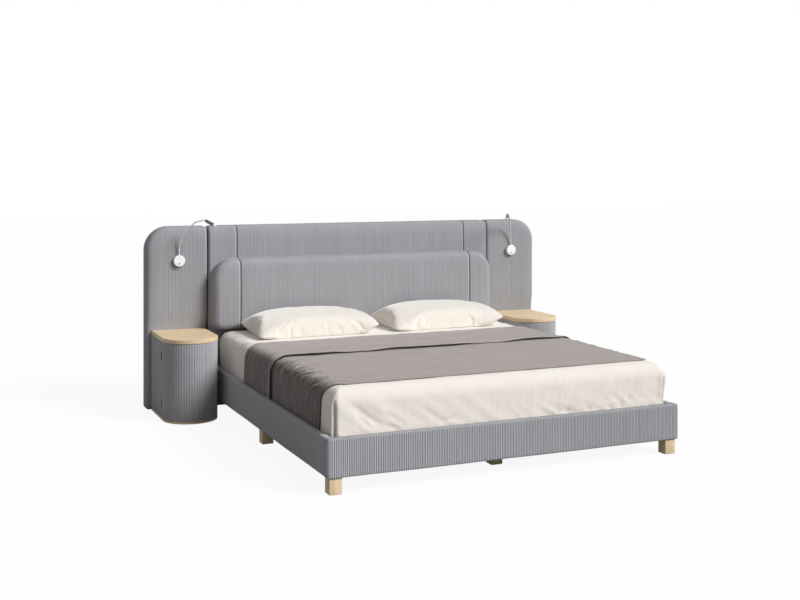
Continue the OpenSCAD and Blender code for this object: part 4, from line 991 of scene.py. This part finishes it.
throw = {
    "front": -1.0, "single": 0.804, "double": 0.523, "t": 0.003, "gap": 0.0003, "low": 0.229,
    "hem": 0.007, "hemReach": 0.085, "wrinkle": 0.0028, "crumple": 0.0115, "slideHead": 0.05,
    "slideFoot": 0.06, "slideReach": 0.08, "dense": 0.08, "denseHem": 0.1, "ridgeHighlight": 0.85,
    "shoulder": (0.04, 0.08), "crumpleAt": (0.03, 0.09),  # past the top's edge, and width
    "crumpleSides": (0.65, 0.35),  # mean, and how much the left side has over it
    "singleEnd": (-0.02, 0.12), "frontEase": (-0.02, 0.06), "hemUneven": 0.6, "hemHang": 0.003,
    "hemCorner": (0.006, 0.07, 0.13), "hemLeast": 0.002,
    # the ripples' seed, count, least and greatest length
    "pull": (56, 8, 0.035, 0.13), "pullShare": (57, 8, 0.07, 0.22),
    "ridges": (59, 10, 0.05, 0.16), "ridgeShare": (60, 8, 0.09, 0.3), "hemWaves": (53, 5, 0.35, 1.1),
    # the same after a depth
    "sag": (0.0012, 51, 12, 0.12, 0.5), "flat": (0.0004, 58, 8, 0.08, 0.3),
    "streaks": (0.0006, 54, 8, 0.03, 0.09), "upper": (0.0006, 52, 9, 0.06, 0.3),
}


def throwPiece():
    # Across, the cloth follows the cover's section: up the side, a quarter circle, the top and down.
    # Along, it runs from its front edge to the back, turns over there and comes back on top.
    t, gap, hem, dense = throw["t"], throw["gap"], throw["single"], throw["dense"]
    r = cover["edge"]
    halfX, midZ = cover["w"] / 2 - r, cover["top"] - r
    arcL = r * math.pi / 2
    reach = midZ - throw["low"] + arcL + halfX
    far = join([np.linspace(0, halfX - dense, 50)[:-1], np.linspace(halfX - dense, reach, 52)])
    a = join([-far[:0:-1], far])
    b = np.abs(a)
    turn = np.clip((b - halfX) / r, 0, math.pi / 2)
    nx, nz = np.sign(a) * np.sin(turn), np.cos(turn)
    x = np.sign(a) * np.minimum(b, halfX) + r * nx
    z = midZ + r * nz - np.maximum(b - halfX - arcL, 0)
    full, near = hem + throw["double"], hem + throw["denseHem"]
    under = np.linspace(0, full, 105)
    over = join([np.linspace(full, near, 36)[:-1], np.linspace(near, hem, 16)])
    loop = np.linspace(0, math.pi, 5)[1:-1]
    y = join([under, full + (t / 2 + gap) * np.sin(loop), over])
    top = join([0 * under, (1 - np.cos(loop)) / 2, 0 * over + 1])
    yy, aa = np.meshgrid(y, a, indexing="ij")
    bb, tt = np.abs(aa), spread(top[:, None], yy.shape)
    hanging = smoothStep(bb, halfX, halfX + arcL)
    past, width = throw["shoulder"]
    shoulder = hump(bb - halfX - past, width)
    single = 1 - smoothStep(yy - hem, *throw["singleEnd"])
    towardsHem = smoothStep(yy, 0, hem)
    # wrinkles drawn over the shoulder, and crumples where the cloth lies single, more on the left
    slant = yy + 0.45 * (bb - halfX)
    pull = 1.5 - 1.4 * np.abs(ripples(slant, 0.4 * bb, *throw["pull"]))
    pull = np.clip(pull * (0.75 + 0.5 * ripples(aa, yy, *throw["pullShare"])), 0, 2.2)
    crumple = 1 - 2.2 * np.abs(ripples(bb - 0.7 * yy, 0.8 * yy, *throw["ridges"]))
    crumple = np.maximum(crumple, 0) * np.maximum(0.4 + ripples(aa, yy, *throw["ridgeShare"]), 0)
    past, width = throw["crumpleAt"]
    mean, more = throw["crumpleSides"]
    crumple = crumple * hump(bb - halfX - past, width) * (mean - more * np.sign(aa)) * single
    swell = uneven(throw["sag"], aa, yy) + throw["crumple"] * crumple
    swell += throw["wrinkle"] * shoulder * pull * (0.25 + 0.75 * single * towardsHem)
    swell += (1 - hanging) * uneven(throw["flat"], yy + 0.05 * aa, 0.1 * aa)
    swell += hanging * uneven(throw["streaks"], yy, 0.3 * aa)
    loose = 1 - smoothStep(yy, hem, hem + throw["hemReach"])
    lift = 1 + throw["hemUneven"] * ripples(aa, 0 * yy, *throw["hemWaves"])
    height, past, width = throw["hemCorner"]
    lift = throw["hem"] * lift + throw["hemHang"] * hanging + height * hump(aa + halfX - past, width)
    swell += tt * (loose * np.maximum(lift, throw["hemLeast"]) + uneven(throw["upper"], aa, yy))
    rise = t / 2 + gap + tt * (t + gap) + swell * smoothStep(yy, *throw["frontEase"])
    slide = 1 - np.exp(-np.maximum(bb - halfX, 0) / throw["slideReach"])
    slide = slide * (throw["slideHead"] + throw["slideFoot"] * (1 - towardsHem))
    grid = np.stack([x + nx * rise, throw["front"] + yy + slide, z + nz * rise], -1)
    # painted shade down the hanging sides, lifted by a painted highlight on the crumple ridges
    fall = smoothStep(bb, halfX, halfX + 0.7 * arcL) - throw["ridgeHighlight"] * crumple
    piece = buildPiece("throwBlanket", grid, gridFaces(*grid.shape[:2]), "throw",
                       {"fall": fall})
    thick = piece.modifiers.new("thickness", "SOLIDIFY")
    thick.thickness = t * 0.9
    thick.offset = 0
    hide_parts("throw")
    2 * reach


throwPiece()
print("bedding made")

pillow = {"w": 0.76, "d": 0.46, "x": 0.43, "back": 0.903, "seat": 0.4753, "crown": 0.138,
          "seam": 0.036, "rise": 0.036, "flatW": 0.79, "flatD": 0.485, "cells": (80, 50),
          "cut": 0.06, "startHigh": 0.012, "startWaves": 0.22, "waves": (12, 0.14, 0.7),
          "quickHigh": 0.07, "liftX": (0.5, 1), "liftY": (-0.2, 0.9),
          "pressure": 5.0, "frames": 12, "settle": 0.004, "lift": 0.036}


def caseMesh(n, m):
    # two grids that share their rim: where each point lies on them, its side, and the quads
    u, v = (g.ravel() for g in np.meshgrid(np.linspace(-1, 1, n + 1), np.linspace(-1, 1, m + 1)))
    inner = (np.abs(u) < 1) & (np.abs(v) < 1)
    lower = np.where(inner, len(u) - 1 + np.cumsum(inner), np.arange(len(u)))
    faces = gridFaces(m + 1, n + 1)
    faces = join([faces, lower[faces[:, ::-1]]])
    side = join([inner * 1.0, -np.ones(inner.sum())])
    return np.append(u, u[inner]), np.append(v, v[inner]), side, faces


def swollen(points, faces):
    # cloth simulation: the sewn case is blown up from inside and its last shape is read off
    mesh = bpy.data.meshes.new("case")
    mesh.from_pydata(points.tolist(), [], faces.tolist())
    case = addObject("case", mesh)
    cloth = case.modifiers.new("cloth", "CLOTH")
    settings = cloth.settings
    for key, value in {"quality": 5, "mass": 0.3, "tension_stiffness": 15,
                       "compression_stiffness": 15, "shear_stiffness": 5, "bending_stiffness": 0.3,
                       "air_damping": 2, "use_pressure": True,
                       "uniform_pressure_force": pillow["pressure"]}.items():
        setattr(settings, key, value)
    settings.effector_weights.gravity = 0
    cloth.collision_settings.use_collision = False
    cloth.point_cache.frame_start = 1
    cloth.point_cache.frame_end = pillow["frames"]
    for at in range(1, pillow["frames"] + 1):
        scene.frame_set(at)
    blown = case.evaluated_get(bpy.context.evaluated_depsgraph_get()).data
    result = np.zeros(len(points) * 3)
    blown.vertices.foreach_get("co", result)
    scene.frame_set(1)
    bpy.data.objects.remove(case)
    return result.reshape(-1, 3)


def pillowPiece(side, sign, seed):
    # The case starts as two flat sheets with cut corners and is swollen; then its middle plane is
    # tipped, its upper half brought to the crown, one front corner lifted and its lower half settled
    # on the cover.
    u, v, half, faces = caseMesh(*pillow["cells"])
    cut = 1 - pillow["cut"] * (u * v) ** 6
    bulge = (1 - u**4) * (1 - v**4)
    waves = 1 + pillow["startWaves"] * ripples(u, v, seed, *pillow["waves"])
    high = half * (pillow["startHigh"] * bulge * waves)
    flat = np.stack([pillow["flatW"] / 2 * u * cut, pillow["flatD"] / 2 * v * cut, high], 1)
    shape = swollen(flat, faces)
    size = shape.max(0) - shape.min(0)
    x = shape[:, 0] * pillow["w"] / size[0]
    y = shape[:, 1] * pillow["d"] / size[1]
    middle = pillow["seam"] + pillow["rise"] * y / pillow["d"]
    stretch = (pillow["crown"] - pillow["seam"]) / shape[:, 2].max()
    z = middle + shape[:, 2] * np.where(shape[:, 2] > 0, stretch, 1.0)
    across, ahead = 2 * x / pillow["w"], -2 * y / pillow["d"]
    corner = smoothStep(across, *pillow["liftX"]) * smoothStep(ahead, *pillow["liftY"])
    z = z + pillow["lift"] * corner
    z = pillow["settle"] * np.logaddexp(0, z / pillow["settle"])
    place = np.array([sign * pillow["x"], pillow["back"] - pillow["d"] / 2, pillow["seat"]])
    piece = buildPiece(side + "PillowCase", np.stack([x, y, z], 1) + place, faces, "cream")
    smooth = piece.modifiers.new("smooth", "SUBSURF")
    smooth.levels = smooth.render_levels = 1
    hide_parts(side + "_pillow")


for side, sign in sides.items():
    pillowPiece(side, sign, 61 + sign)
print("pillows made")

carried = {
    "pullMetal": ["door_pull"],
    "darkSteel": ["fixed_hinges", "door_hinges"],
    "steel": ["corner_brackets", "frame_bolts", "join_plates", "shelf_pins", "stand_bolts",
              "head_bolts"],
    "pineX": ["head_rail", "slats"],
    "pineY": ["centre_beam", "slat_battens"],
    "pineZ": ["wing_board", "centre_board", "cushion_board"],
    "oakZ": ["stand_back"],
    "oakX": ["stand_shelf"],
    "whitePlastic": ["lamp_base"],
    "darkPlastic": ["lamp_button", "lamp_plates"],
    "satinMetal": ["lamp_collar"],
}
for finish, endings in carried.items():
    for name, node in cadNodes.items():
        if any(name.endswith(ending) for ending in endings):
            node.data.materials.clear()
            node.data.materials.append(finishes[finish])
print("carried-over parts finished")

light = {
    "from": (0.547, -0.587, 0.596), "sun": 3.3, "soft": 24.0, "world": 0.3,
    "floor": 0.33, "floorSize": 30.0, "shadowShare": 0.08,
}
world = Finish("studio", True)
strength = light["world"] + (1 - light["world"]) * world.seenRays()
sky = world.add("Background", None, {"Color": (1, 1, 1, 1), "Strength": strength})
world.add("OutputWorld", None, {0: sky})

ground = Finish("paleFloor")
seen = ground.seenRays()
colour = ground.mix(seen, (light["floor"],) * 3, (0.95, 0.95, 0.95))
matt = ground.add("BsdfDiffuse", None, {"Color": colour})
glow = ground.add("Emission", None, {"Color": (1, 1, 1, 1), "Strength": 1.0})
both = ground.add("MixShader", None, {0: seen * (1 - light["shadowShare"]), 1: matt, 2: glow})
ground.add("OutputMaterial", None, {0: both})
half = light["floorSize"]
floorMesh = bpy.data.meshes.new("paleFloor")
floorMesh.from_pydata([(-half, -half, 0), (half, -half, 0), (half, half, 0), (-half, half, 0)], [],
                      [(0, 1, 2, 3)])
floorMesh.materials.append(ground.data)
paleFloor = addObject("paleFloor", floorMesh)

sunData = bpy.data.lights.new("sun", "SUN")
sunData.energy = light["sun"]
sunData.angle = math.radians(light["soft"])
sun = addObject("sun", sunData)
sun.rotation_euler = (math.acos(light["from"][2] / np.linalg.norm(light["from"])), 0,
                      math.atan2(light["from"][0], -light["from"][1]))
scene.view_settings.view_transform = "Standard"
print("light set")
